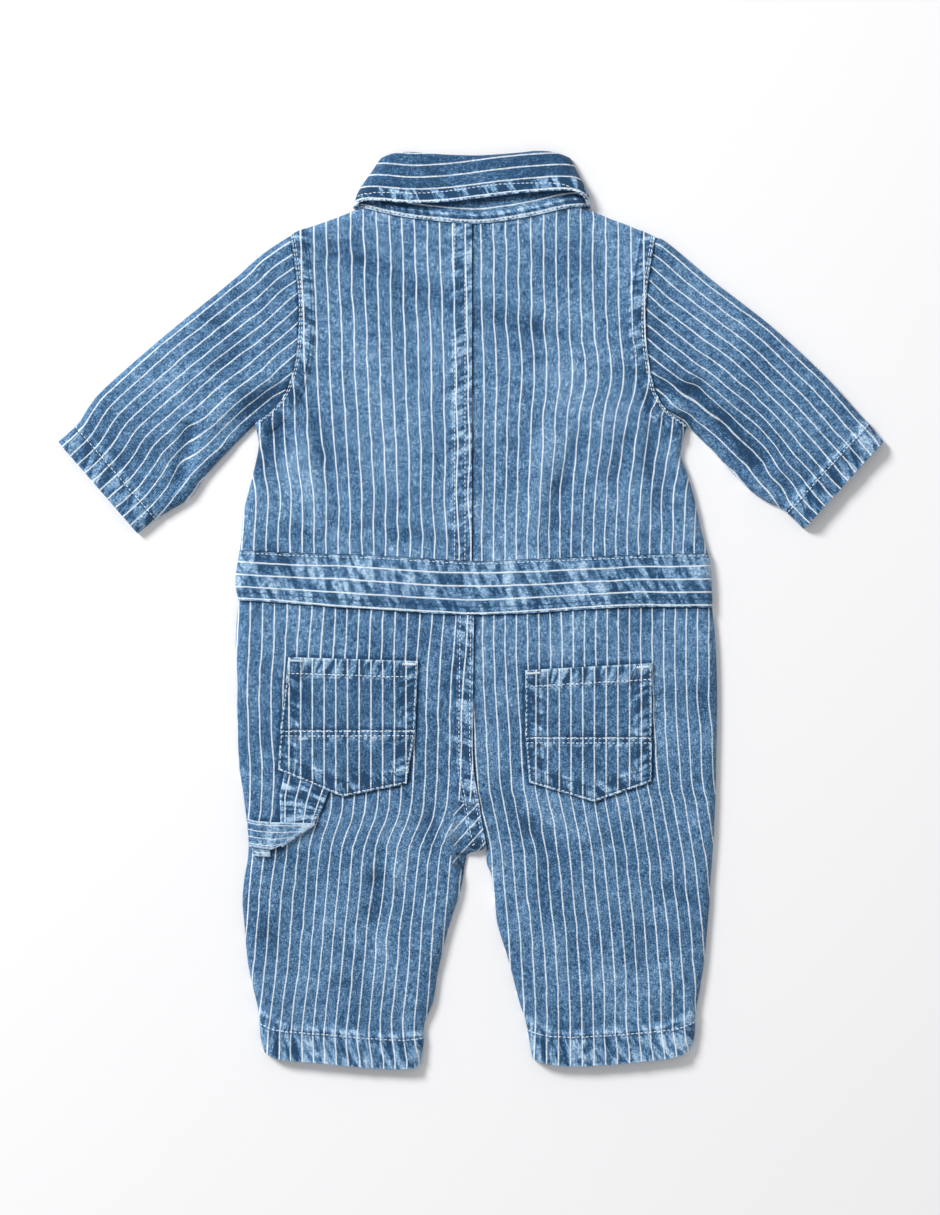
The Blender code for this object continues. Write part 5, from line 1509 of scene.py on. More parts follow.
@dataclass
class Bodice:
    """The two backs, the left one with the fell of the centre-back seam, and the two plain fronts.

    Attributes:
        centre: X of the seam between the backs.
        back_fell: Width of the fell along it.
        back_rows: Distances of its stitch rows from the seam.
        armhole_fell: Width of the fell round an armhole.
        armhole_rows: Distances of its stitch rows from the seam.
        fell_raise: How much a fell stands up.
        lap_start: How far left of the middle the left front rises over the placket.
        lap_run: Run in which a front rises to the placket.
    """

    centre: float = 0.6
    back_fell: float = 11.2
    back_rows: tuple[float, ...] = (4.2, 10.4)
    armhole_fell: float = 9.0
    armhole_rows: tuple[float, ...] = (0.9, 2.2, 8.0)
    fell_raise: float = 1.0
    lap_start: float = 15.5
    lap_run: float = 7.5

    def panel(self, side: Array, armhole: Array, neck: Array, shoulder: Array, inner_x: float,
              spacing: float = SPACING) -> tuple[Patch, Array, float]:
        """Flat shape of a bodice panel between its outer edge and a straight inner one.

        Args:
            side: Side edge, from the armpit down.
            armhole: Armhole, from the armpit up.
            neck: Neck seam, from left to right.
            shoulder: Shoulder edge, from the neck out.
            inner_x: X of the inner edge.
            spacing: Distance between the rows.

        Returns:
            The patch, the shares of its rows, and the distance up its outer edge to the armpit.
        """
        on_left = side[0, 0] < 0
        side = portion(side, CORNER_CUT, length(side) - GAP)
        armhole = portion(armhole, CORNER_CUT)
        outer = np.vstack([side[::-1], armhole])
        sides = spread(length(side), AT_WAIST, AT_ARMPIT, spacing)
        above = spread(length(armhole), AT_ARMPIT, AT_SHOULDER, spacing)
        rows = np.concatenate([sides, length(outer) - length(armhole) + above]) / length(outer)
        bottom = shifted(BAND_TOP, GAP)
        if on_left:
            bottom = np.vstack([side[-1:], left_part(bottom, inner_x)[1:]])
            top = join(shoulder[::-1], left_part(neck, inner_x))
            return Patch(bottom, top, outer, straight(bottom[-1], top[-1])), rows, length(side)
        bottom = np.vstack([right_part(bottom, inner_x)[:-1], side[-1:]])
        top = join(right_part(neck, inner_x), shoulder)
        return Patch(bottom, top, straight(bottom[0], top[0]), outer), rows, length(side)

    def seams(self, armhole: Array) -> list[Seam]:
        """The seams round a back: its armhole, the neck and the waist."""
        return [
            Seam(armhole, self.armhole_fell, self.fell_raise, self.armhole_rows, pucker=0.3, seed=11),
            Seam(smooth(NECK_SEAM), pucker=0.25, rope=0.6, wear_and_painted_shade=0.0, seed=12),
            Seam(BAND_TOP, pucker=0.3, reach=7.0, rope=0.7, wear_and_painted_shade=0.0, seed=13),
        ]

    def backs(self) -> list[Cloth]:
        """The two backs."""
        neck = smooth(NECK_SEAM)
        columns = beside(self.armhole_fell + 2.0, *self.armhole_rows, self.armhole_fell)
        centre_columns = beside(self.back_fell + 1.5, *self.back_rows, self.back_fell, rolled=False)
        patch, rows, self.armpit_left = self.panel(SIDE_LEFT, ARM_LEFT, neck, TOP_LEFT, self.centre)
        grid = patch.grid(rows, columns, centre_columns, knees=[neck[0]])
        fell = Seam(patch.right, self.back_fell, self.fell_raise, self.back_rows, pucker=0.25, seed=14)
        self.left = Cloth("back_left", sewn_cloth(grid, self.seams(ARM_LEFT) + [fell]),
                          stripes_by_grain(grid, BACK_LEFT_GRAIN, 8))
        patch, rows, self.armpit_right = self.panel(SIDE_RIGHT, ARM_RIGHT, neck, TOP_RIGHT, self.centre + GAP)
        grid = patch.grid(rows, (0.0, 0.5), columns, knees=[neck[-1]])
        # painted shadow: a dark line on the right back along the centre seam, beside the left back's raised
        # fell
        beyond = Seam(patch.left, pucker=0.2, rope=0.5, wear_and_painted_shade=-0.8, seed=15)
        self.right = Cloth("back_right", sewn_cloth(grid, self.seams(ARM_RIGHT) + [beyond]),
                           stripes_by_grain(grid, BACK_RIGHT_GRAIN, 11))
        return [self.left, self.right]

    def front_lift(self, points: Array) -> Array:
        """How far a front rises from the surface: over the placket, or onto its edge."""
        x = points[..., 0]
        over = np.clip((x + self.lap_start + self.lap_run) / self.lap_run, 0, 1) * 2 * RIM
        near = np.clip((PLACKET_HALF + self.lap_run - x) / self.lap_run, 0, 1) * RIM
        return np.where(x < PLACKET_HALF, over, near)

    def fronts(self) -> list[Cloth]:
        """The two fronts, flat but for the left one's lap over the placket."""
        neck = smooth(FRONT_NECK_LEFT)
        patch, rows, _ = self.panel(SIDE_LEFT, shifted(ARM_LEFT, -GAP), neck, TOP_LEFT, LAP_END, COARSE)
        lap = LAP_END + self.lap_start
        left = patch.grid(rows, (0.0,), (0.0, 1.5, 5.0, 12.0, lap, lap + self.lap_run), COARSE, [neck[0]])
        neck, edge = smooth(FRONT_NECK_RIGHT)[::-1], PLACKET_HALF + GAP
        patch, rows, _ = self.panel(SIDE_RIGHT, shifted(ARM_RIGHT, GAP), neck, TOP_RIGHT, edge, COARSE)
        right = patch.grid(rows, (0.0, 3.0, self.lap_run), (0.0,), COARSE, [neck[-1]])
        return [Cloth("front_left", flat_cloth(left, self.front_lift(left)), upright_stripes(left)),
                Cloth("front_right", flat_cloth(right, self.front_lift(right)), upright_stripes(right))]

    def pieces(self) -> list[Cloth]:
        """Every cut piece of the bodice."""
        return self.backs() + self.fronts()

    def sew(self, pale: Sewing, indigo: Sewing) -> None:
        """Stitches the fells of the centre back and of the armholes."""
        for inset in self.back_rows:
            pale.row(self.left.trace(Edge.RIGHT, inset))
        for inset, thread in zip(self.armhole_rows, (pale, pale, indigo)):
            thread.row(self.left.trace(Edge.LEFT, inset, self.armpit_left))
            thread.row(self.right.trace(Edge.RIGHT, inset, self.armpit_right))


def flat_cloth(points: Array, lift: Array | float = 0.0) -> Walls:
    """A layer of even thickness that lies on the floor, or lifted from it."""
    below = at_height(points, np.zeros(points.shape[:-1]) + lift)
    still = np.zeros(points.shape[:-1])
    return Walls(below + (0, 0, WALL), below, folded(points)[1], still, np.zeros(points.shape))


def upright_stripes(points: Array, x: float = 0.0, pitch: float = PITCH) -> Array:
    """Stripes that run straight up and down, one of them at X."""
    return np.stack([(points[..., 0] - x) / pitch, points[..., 1] / PITCH], axis=-1)


@dataclass
class Sleeve:
    """One sleeve: a flattened tube from its armhole to its hem, across from shoulder to armpit.

    Attributes:
        name: Name of the piece.
        armhole: Armhole, from the armpit up.
        top: Upper edge, from the shoulder to the hem.
        under: Lower edge, from the armpit to the hem.
        cuff: Edge of the hem, from the upper to the lower edge.
        hem: Width of the hem.
        hem_rows: Distances of its stitch row from the cuff's edge.
        hem_raise: How much it stands up.
        stripe_start: Place of the upper edge in stripe pitches.
        sways: How the stripes sway: by how many pitches, over what size, and the seed of it.
        fold_sway: How far the folds pull them aside.
    """

    name: str
    armhole: Array
    top: Array
    under: Array
    cuff: Array
    hem: float = 15.5
    hem_rows: tuple[float, ...] = (13.9,)
    hem_raise: float = 0.8
    stripe_start: float = 0.4
    sways: tuple[tuple[float, float, int], ...] = ((0.09, 22.0, 23), (0.05, 9.0, 24))
    fold_sway: float = 0.16

    def pieces(self) -> list[Cloth]:
        """The sleeve."""
        top = portion(self.top, GAP)
        start = np.vstack([top[:1], portion(self.armhole, CORNER_CUT)[-2::-1]])
        under = np.vstack([start[-1:], portion(self.under, CORNER_CUT)])
        reach = (length(top) + length(under)) / 2
        hem_rows = beside(self.hem + 5.5, *self.hem_rows, self.hem, rolled=False)
        rows = spread(reach, AT_SEAM, hem_rows) / reach
        patch = Patch(start, self.cuff, top, under)
        grid = patch.grid(rows, beside(EDGE_ROLL), beside(EDGE_ROLL))
        seams = [
            Seam(prolonged(self.cuff, EDGE_OVERRUN), self.hem, self.hem_raise, self.hem_rows, pucker=0.3,
                 halo=2.7, wear_and_painted_shade=0.5, seed=21),
            # painted shadow: a dark line on the sleeve along the armhole, beside the bodice's raised fell
            Seam(self.armhole, pucker=0.35, reach=7.0, rope=0.7, wear_and_painted_shade=-0.9, seed=22),
        ]
        self.cloth = Cloth(self.name, sewn_cloth(grid, seams, shade=SLEEVE_SHADE), self.stripes(grid),
                           plain_cloth(grid))
        return [self.cloth]

    def stripes(self, grid: Array) -> Array:
        """Stripes that run along the sleeve, parallel to its upper edge."""
        away, run = measured(grid, self.top, SLEEVE_REACH)
        across = away / PITCH + self.stripe_start
        for sway, size, seed in self.sways:
            across = across + sway * mottle(grid, size, seed)
        return np.stack([across + self.fold_sway * folded(grid)[0], run / PITCH], axis=-1)

    def sew(self, pale: Sewing, indigo: Sewing) -> None:
        """Stitches the hem, with a row of indigo stitches just inside it."""
        for inset in self.hem_rows:
            pale.row(self.cloth.trace(Edge.TOP, inset))
            indigo.row(self.cloth.trace(Edge.TOP, inset - INDIGO_ROW_GAP))


# ---------------------------------------------------------------------------------------------
# Waistband and legs


@dataclass
class Waistband:
    """The waistband, all round, raised over the cloth above and below it.

    Attributes:
        band_raise: How much it stands up.
        top_rows: Distances of its stitch rows from its upper edge.
        bottom_rows: Distances of its stitch rows from its lower edge.
        stripe_start: Place of the upper edge in stripe pitches.
        stripe_count: Pitches from the upper to the lower edge.
        sway: How the stripes sway: by how many pitches, over what size, and the seed of it.
        whole: A width past the band's own, so that all of it is raised.
    """

    band_raise: float = 1.2
    top_rows: tuple[float, ...] = (1.2,)
    bottom_rows: tuple[float, ...] = (1.2, 4.6)
    stripe_start: float = 0.11
    stripe_count: float = 4.05
    sway: tuple[float, float, int] = (0.06, 20.0, 34)
    whole: float = 40.0

    def pieces(self) -> list[Cloth]:
        """The waistband."""
        patch = Patch(BAND_BOTTOM, BAND_TOP, BAND_LEFT[::-1], BAND_RIGHT[::-1])
        reach = length(BAND_LEFT)
        low = beside(6.0, *self.bottom_rows, rolled=False)
        rows = spread(reach, low, beside(3.0, *self.top_rows, rolled=False)) / reach
        grid = patch.grid(rows, beside(EDGE_ROLL), beside(EDGE_ROLL))
        seams = [
            Seam(BAND_BOTTOM, self.whole, self.band_raise, self.bottom_rows, pucker=0.0, wear_and_painted_shade=0.5, seed=31),
            Seam(BAND_BOTTOM, pucker=0.35, reach=6.0, rope=2.0, wear_and_painted_shade=0.0, seed=32),
            Seam(BAND_TOP, 0.0, 0.0, self.top_rows, pucker=0.35, reach=6.0, rope=2.0, seed=33),
        ]
        along = (1 - rows)[:, None] * np.ones(grid.shape[1])
        sway, size, seed = self.sway
        across = self.stripe_start + self.stripe_count * along + sway * mottle(grid, size, seed)
        stripes = np.stack([across, grid[..., 0] / PITCH], axis=-1)
        self.cloth = Cloth("waistband", sewn_cloth(grid, seams), stripes, plain_cloth(grid), True)
        return [self.cloth]

    def sew(self, pale: Sewing, indigo: Sewing) -> None:
        """Stitches both edges."""
        for inset in self.top_rows:
            pale.row(self.cloth.trace(Edge.TOP, inset))
        for inset, thread in zip(self.bottom_rows, (pale, indigo)):
            thread.row(self.cloth.trace(Edge.BOTTOM, inset))


@dataclass
class Legs:
    """The backs and the plain fronts of the legs; the left back carries the fell of the seat seam.

    Attributes:
        rise_fell: Width of the fell down the seat.
        rise_rows: Distances of its stitch rows from the seam.
        fell_raise: How much it stands up.
        hem: Width of the turned hems.
        hem_rows: Distances of their stitch row from the folded edge.
        hem_raise: How much they stand up.
    """

    rise_fell: float = 9.3
    rise_rows: tuple[float, ...] = (1.8, 8.2)
    fell_raise: float = 1.0
    hem: float = 19.5
    hem_rows: tuple[float, ...] = (17.6,)
    hem_raise: float = 0.8

    def rows(self, inner: Sequence[Array], spacing: float = SPACING) -> Array:
        """Shares of a leg's inner edge: the seat, the crotch where there is one, then the inseam."""
        seat, inseam = length(inner[0]), length(inner[-1])
        between = sum(length(edge) for edge in inner) - seat - inseam
        first = spread(seat, AT_WAIST, AT_SEAM, spacing)
        hem = beside(self.hem + 6.0, *self.hem_rows, self.hem, rolled=False)
        last = seat + between + spread(inseam, AT_SEAM, hem, spacing)
        crotch = seat + even_steps(0.0, 1.0, between, spacing)[1:] * between if between > 0 else last[:0]
        last = last if between > 0 else last[1:]
        return np.concatenate([first, crotch, last]) / (seat + between + inseam)

    def seams(self, foot: Array, laid_on: Sequence[Array]) -> list[Seam]:
        """The seams round a leg's back: the waist, with a painted shadow under the waistband, the hem, and
        the painted shadow of what is laid on it.

        Args:
            foot: The leg's lower edge.
            laid_on: The outlines of the pieces laid on the leg.

        Returns:
            The seams.
        """
        return [
            # painted shadow: a dark line on the leg under the raised waistband's lower edge
            Seam(BAND_BOTTOM, pucker=0.35, reach=8.0, rope=0.8, wear_and_painted_shade=-1.1, fringe=1.8, seed=41),
            Seam(prolonged(foot, EDGE_OVERRUN), self.hem, self.hem_raise, self.hem_rows, pucker=0.4,
                 halo=2.9, wear_and_painted_shade=0.7, shade=0.12, seed=42),
        # painted shadows: dark lines on the leg round the pockets and the side loop laid on it
        ] + [Seam(outline, pucker=0.0, rope=0.5, wear_and_painted_shade=-1.5, fringe=1.7, seed=45) for outline in laid_on]

    def pieces(self) -> list[Cloth]:
        """The backs and fronts of both legs."""
        top, seam = shifted(BAND_BOTTOM, -GAP), portion(SEAT_SEAM, GAP)
        outer = portion(OUTSEAM_LEFT, GAP)
        waist = np.vstack([outer[:1], left_part(top, seam[0, 0])[1:-1], seam[:1]])
        inner = [seam, CROTCH_EDGE, INSIDE_LEFT]
        patch = Patch(waist, FOOT_LEFT, outer, join(*inner))
        fell_columns = beside(self.rise_fell + 2.0, *self.rise_rows, self.rise_fell)
        grid = patch.grid(self.rows(inner), beside(EDGE_ROLL), fell_columns)
        fell = Seam(seam, self.rise_fell, self.fell_raise, self.rise_rows, pucker=0.3, rope=1.2, wear_and_painted_shade=0.9,
                    seed=43)
        # painted shadow: a dark line on the left leg just past the seat fell's raised edge
        beside_fell = Seam(shifted(seam, -self.rise_fell - 1.0), pucker=0.0, rope=0.0, wear_and_painted_shade=-0.8, seed=46)
        seams = self.seams(FOOT_LEFT, [pocket_outline(POCKETS["left"]), *SideLoop().outlines()])
        stripes = slanting_at_crotch(grid, stripes_by_grain(grid, LEG_LEFT_GRAIN, 12))
        self.left = Cloth("leg_back_left",
                          sewn_cloth(grid, seams + [fell, beside_fell], shade=LEG_SHADE), stripes)
        front = [seam, smooth(CROTCH[:2] + FRONT_INSEAM_LEFT[:1]), smooth(FRONT_INSEAM_LEFT)]
        patch = Patch(waist, FOOT_LEFT, outer, join(*front))
        below_left = patch.grid(self.rows(front, COARSE), AT_HIDDEN, AT_HIDDEN, COARSE)

        self.seat_run = length(seam)
        seam = portion(shifted(SEAT_SEAM, GAP), GAP)
        inner = [seam, np.vstack([seam[-1:], INSIDE_RIGHT[1:]])]
        outer = portion(OUTSEAM_RIGHT, GAP)
        waist = np.vstack([seam[:1], right_part(top, seam[0, 0])[1:-1], outer[:1]])
        patch = Patch(waist, FOOT_RIGHT, join(*inner), outer)
        grid = patch.grid(self.rows(inner), beside(EDGE_ROLL), beside(EDGE_ROLL))
        # painted shadow: a dark line on the right leg along the seat seam, beside the left leg's raised fell
        beyond = Seam(seam, pucker=0.2, rope=0.5, wear_and_painted_shade=-1.2, fringe=1.3, seed=44)
        seams = self.seams(FOOT_RIGHT, [pocket_outline(POCKETS["right"])])
        self.right = Cloth("leg_back_right", sewn_cloth(grid, seams + [beyond], shade=LEG_SHADE),
                           stripes_by_grain(grid, LEG_RIGHT_GRAIN, 13))
        below_right = patch.grid(self.rows(inner, COARSE), AT_HIDDEN, AT_HIDDEN, COARSE)
        return [self.left, self.right,
                Cloth("leg_front_left", flat_cloth(below_left), upright_stripes(below_left)),
                Cloth("leg_front_right", flat_cloth(below_right), upright_stripes(below_right))]

    def sew(self, pale: Sewing, indigo: Sewing) -> None:
        """Stitches the fell of the seat and the hems."""
        for inset in self.rise_rows:
            pale.row(self.left.trace(Edge.RIGHT, inset, 0.0, self.seat_run))
        for inset in self.hem_rows:
            for leg in (self.left, self.right):
                pale.row(leg.trace(Edge.TOP, inset))
                indigo.row(leg.trace(Edge.TOP, inset - INDIGO_ROW_GAP))


# ---------------------------------------------------------------------------------------------
# Pockets and side loop


def pocket_outline(shape: PocketShape) -> Array:
    """The closed outline of a pocket, as a polyline."""
    return np.array([shape.top_left, shape.top_right, shape.seam_right, shape.low_right, shape.point,
                     shape.low_left, shape.seam_left, shape.top_left], dtype=float)


@dataclass
class Pocket:
    """One patch pocket, in an upper part with a hem and a pointed lower part.

    Attributes:
        side: "left" or "right".
        shape: Its corners.
        stripe_x: X of one of its stripes.
        stripe_pitch: From one stripe to the next.
        edge_rows: Distances of the stitch rows from its side edges and its pointed end.
        allowance: Width of the cloth turned in behind those edges.
        hem: Distance of the hem's stitch row from the upper edge.
        seam_rows: Distances of the rows below the seam across it.
    """

    side: str
    shape: PocketShape
    stripe_x: float
    stripe_pitch: float
    edge_rows: tuple[float, ...] = (0.9, 2.1, 8.0)
    allowance: float = 9.0
    hem: float = 9.6
    seam_rows: tuple[float, ...] = (0.9, 3.6)

    def patches(self) -> tuple[Patch, Patch]:
        """The flat shapes of the upper and of the lower part."""
        shape, seam = self.shape, straight(self.shape.seam_left, self.shape.seam_right)
        upper = Patch(seam, straight(shape.top_left, shape.top_right),
                      straight(shape.seam_left, shape.top_left), straight(shape.seam_right, shape.top_right))
        point = np.array([shape.low_left, shape.point, shape.low_right], dtype=float)
        parted = seam - (0, GAP)
        lower = Patch(point, parted, straight(shape.low_left, parted[0]),
                      straight(shape.low_right, parted[1]))
        return upper, lower

    def pieces(self) -> list[Cloth]:
        """The two parts, laid on the leg."""
        upper, lower = self.patches()
        columns = beside(9.5, *self.edge_rows, rolled=False)
        top_rows = beside(self.hem + 1.5, self.hem, rolled=False)
        reach = length(upper.left)
        rows = spread(reach, beside(2.5, rolled=False), top_rows) / reach
        grids = [upper.grid(rows, columns, columns)]
        reach = length(lower.left)
        rows = spread(reach, columns, beside(5.5, *self.seam_rows, rolled=False)) / reach
        grids.append(lower.grid(rows, columns, columns, knees=[self.shape.point]))
        sides, low_sides = (
            [Seam(edge, self.allowance, 0.0, self.edge_rows, pucker=0.3, reach=4.0, rope=1.3, wear_and_painted_shade=1.7,
                  shade=-0.2, seed=seed) for seed, edge in enumerate(edges, 51)]
            for edges in ((upper.left, upper.right), (lower.left, lower.right, lower.bottom)))
        hem = Seam(upper.top, 10.5, 0.35, (self.hem,), pucker=0.4, reach=4.0, rope=1.3, wear_and_painted_shade=1.4, shade=0.1,
                   seed=56)
        fell = Seam(lower.top, 5.0, 0.5, self.seam_rows, pucker=0.3, reach=4.0, rope=1.2, wear_and_painted_shade=1.7,
                    shade=-0.3, seed=57)
        # painted shadow: a dark line on the upper part where the raised seam band of the lower part meets it
        seam_above = Seam(upper.bottom, pucker=0.25, reach=4.0, rope=0.6, wear_and_painted_shade=-0.9, fringe=1.2, seed=58)
        seams = [sides + [hem, seam_above], low_sides + [fell]]
        self.upper, self.lower = (
            Cloth(f"pocket_{self.side}_{part}", sewn_cloth(grid, sewn, lift=GAP, shade=POCKET_SHADE),
                  upright_stripes(grid, self.stripe_x, self.stripe_pitch))
            for part, grid, sewn in zip(("upper", "lower"), grids, seams))
        return [self.upper, self.lower]

    def sew(self, pale: Sewing, indigo: Sewing) -> None:
        """Stitches the edges, the hem, the seam and the bar tacks at the upper corners."""
        for inset, thread in zip(self.edge_rows, (pale, indigo, indigo)):
            for edge in (Edge.LEFT, Edge.RIGHT):
                thread.row(self.upper.trace(edge, inset))
                thread.row(self.lower.trace(edge, inset, 0.7 * inset))
            thread.row(self.lower.trace(Edge.BOTTOM, inset, inset, None))
        pale.row(self.upper.trace(Edge.TOP, self.hem))
        indigo.row(self.upper.trace(Edge.TOP, self.hem + INDIGO_ROW_GAP))
        for inset in self.seam_rows:
            pale.row(self.lower.trace(Edge.TOP, inset))
        line = self.upper.trace(Edge.TOP, 2.0)
        for near, far in ((1.5, 9.0), (length(line) - 9.0, length(line) - 1.5)):
            ends = mixed(line, runs(line), np.array([near, far]))
            pale.tack(ends[0], ends[1])


class LoopRow(NamedTuple):
    """One row of the side loop's strip.

    Its two edges, the height of its middle over the cloth, and the direction that its outer face
    points, as a plan vector and an angle from level.
    """

    x0: float
    y0: float
    x1: float
    y1: float
    lift: float
    out_x: float
    out_y: float
    angle: float


@dataclass
class SideLoop:
    """The side loop: down from the pocket, folded over on a slant, along to the side, and under.

    Attributes:
        layer: From one layer of the strip to the next.
        first: Height of the middle of the lower layer over the cloth.
        turn_steps: Rows in a turn.
        columns: Points across the strip.
        refine: Rows put in for each step between two rows.
        strip_tone: Tone of the strip that comes down from the pocket.
        band_tone: Tone of the band that is folded over it.
        sewn_rows: Rows from the pocket down beside which it is sewn.
        sewn_inset: From its edges to the stitches.
    """

    layer: float = RIM
    first: float = GAP + WALL / 2
    turn_steps: int = 7
    columns: int = 25
    refine: int = 7
    strip_tone: float = -0.35
    band_tone: float = 0.45
    sewn_rows: int = 15
    sewn_inset: float = 1.6
    fold_row: int = 5                              # row of the table at which it folds over
    width: float = 20.0
    stripe_count: float = 4.0                      # stripes across it
    edge_tone: float = 1.5                         # how pale its edges are from wear
    edge_share: float = 0.06                       # how far in, in its widths
    strip_rope: float = 1.7                        # blotches of the strip
    band_rope: float = 0.7                         # and of the band

    def turned(self, row: LoopRow, start: float, end: float) -> list[LoopRow]:
        """Rows of a turn, in which the strip passes from one layer to the next on a half circle."""
        radius = self.layer / 2
        rows = []
        for angle in np.linspace(start, end, self.turn_steps):
            x, y = (axis * radius * np.cos(np.radians(angle)) for axis in (row.out_x, row.out_y))
            rows.append(row._replace(x0=row.x0 + x, y0=row.y0 + y, x1=row.x1 + x, y1=row.y1 + y, angle=angle,
                                     lift=self.first + radius + radius * np.sin(np.radians(angle))))
        return rows

    def table(self) -> list[LoopRow]:
        """The strip's rows along its length."""
        slant_x, slant_y, low, high = 0.6, -0.8, self.first, self.first + self.layer
        down = [LoopRow(-111.6, -97.3, -85.2, -108.45, low, slant_x, slant_y, -90),
                LoopRow(-114.4, -111.0, -89.0, -118.6, low, slant_x, slant_y, -90)]
        fold = LoopRow(-113.6, -140.8, -93.6, -127.4, low, slant_x, slant_y, -90)
        along = [LoopRow(-119.0, -143.2, -118.8, -126.8, high, 0, 1, 90),
                 LoopRow(-127.4, -142.0, -128.6, -126.0, high, 0, 1, 90),
                 LoopRow(-130.4, -141.6, -131.2, -125.4, high, 0, 1, 90)]
        end = LoopRow(-131.6, -141.4, -132.6, -125.0, high, -1, 0, 90)
        under = [LoopRow(-130.0, -146.8, -130.4, -127.6, low, -1, 0, -90),
                 LoopRow(-127.0, -147.4, -127.4, -127.8, low, -1, 0, -90),
                 LoopRow(-119.8, -147.6, -121.4, -129.0, low, -1, 0, -90)]
        return down + self.turned(fold, -90, 90) + along + self.turned(end, 90, -90) + under

    def outlines(self) -> list[Array]:
        """The edges of the strip that lie on the leg, in plan."""
        table = np.array(self.table(), dtype=float)
        fold, last = self.fold_row, 2 + self.turn_steps + 2
        return [table[:fold, 0:2], table[:fold, 2:4], table[fold:last, 0:2], table[fold:last, 2:4]]

    def pieces(self) -> list[Cloth]:
        """The strip, its rows joined by even steps and its edges slightly thinned."""
        table = np.array(self.table(), dtype=float)
        place = np.arange((len(table) - 1) * self.refine + 1) / self.refine
        rows = mixed(table, np.arange(len(table), dtype=float), place)
        shares = np.linspace(0, 1, self.columns)[None, :, None]
        flat = rows[:, None, 0:2] + (rows[:, None, 2:4] - rows[:, None, 0:2]) * shares
        angle = np.radians(rows[:, 7])
        face = np.stack([rows[:, 5] * np.cos(angle), rows[:, 6] * np.cos(angle), np.sin(angle)], axis=-1)
        middle = at_height(flat, surface(flat, lying_height, UPPER_ROLLS) + rows[:, 4:5])
        outer, inner = middle + WALL / 2 * face[:, None], middle - WALL / 2 * face[:, None]
        centre = middle[:, self.columns // 2]
        run = np.concatenate([[0.0], np.cumsum(np.linalg.norm(np.diff(centre, axis=0), axis=-1))])
        stripes = np.stack([np.broadcast_to(shares[..., 0] * self.stripe_count + 0.5, flat.shape[:2]),
                            np.broadcast_to(run[:, None] / PITCH, flat.shape[:2])], axis=-1)
        edge = np.minimum(shares[..., 0], 1 - shares[..., 0]) * np.ones((len(rows), 1))
        folded_over = (np.arange(len(rows)) >= self.fold_row * self.refine)[:, None]
        tone = np.where(folded_over, self.band_tone, self.strip_tone)
        tone = tone + self.edge_tone * np.exp(-(edge / self.edge_share) ** 2)
        place = np.stack([np.broadcast_to(run[:, None], tone.shape), edge * self.width], axis=-1) / BLOTCH
        rope = np.where(folded_over, self.band_rope, self.strip_rope) * np.ones(tone.shape)
        self.cloth = Cloth("hammer_loop", Walls(outer, inner, tone, rope, place), stripes)
        return [self.cloth]

    def sew(self, pale: Sewing, indigo: Sewing) -> None:
        """Stitches along both edges of the strip that show."""
        for edge in (Edge.LEFT, Edge.RIGHT):
            pale.row(self.cloth.trace(edge, self.sewn_inset)[:self.sewn_rows])


# ---------------------------------------------------------------------------------------------
# Collar


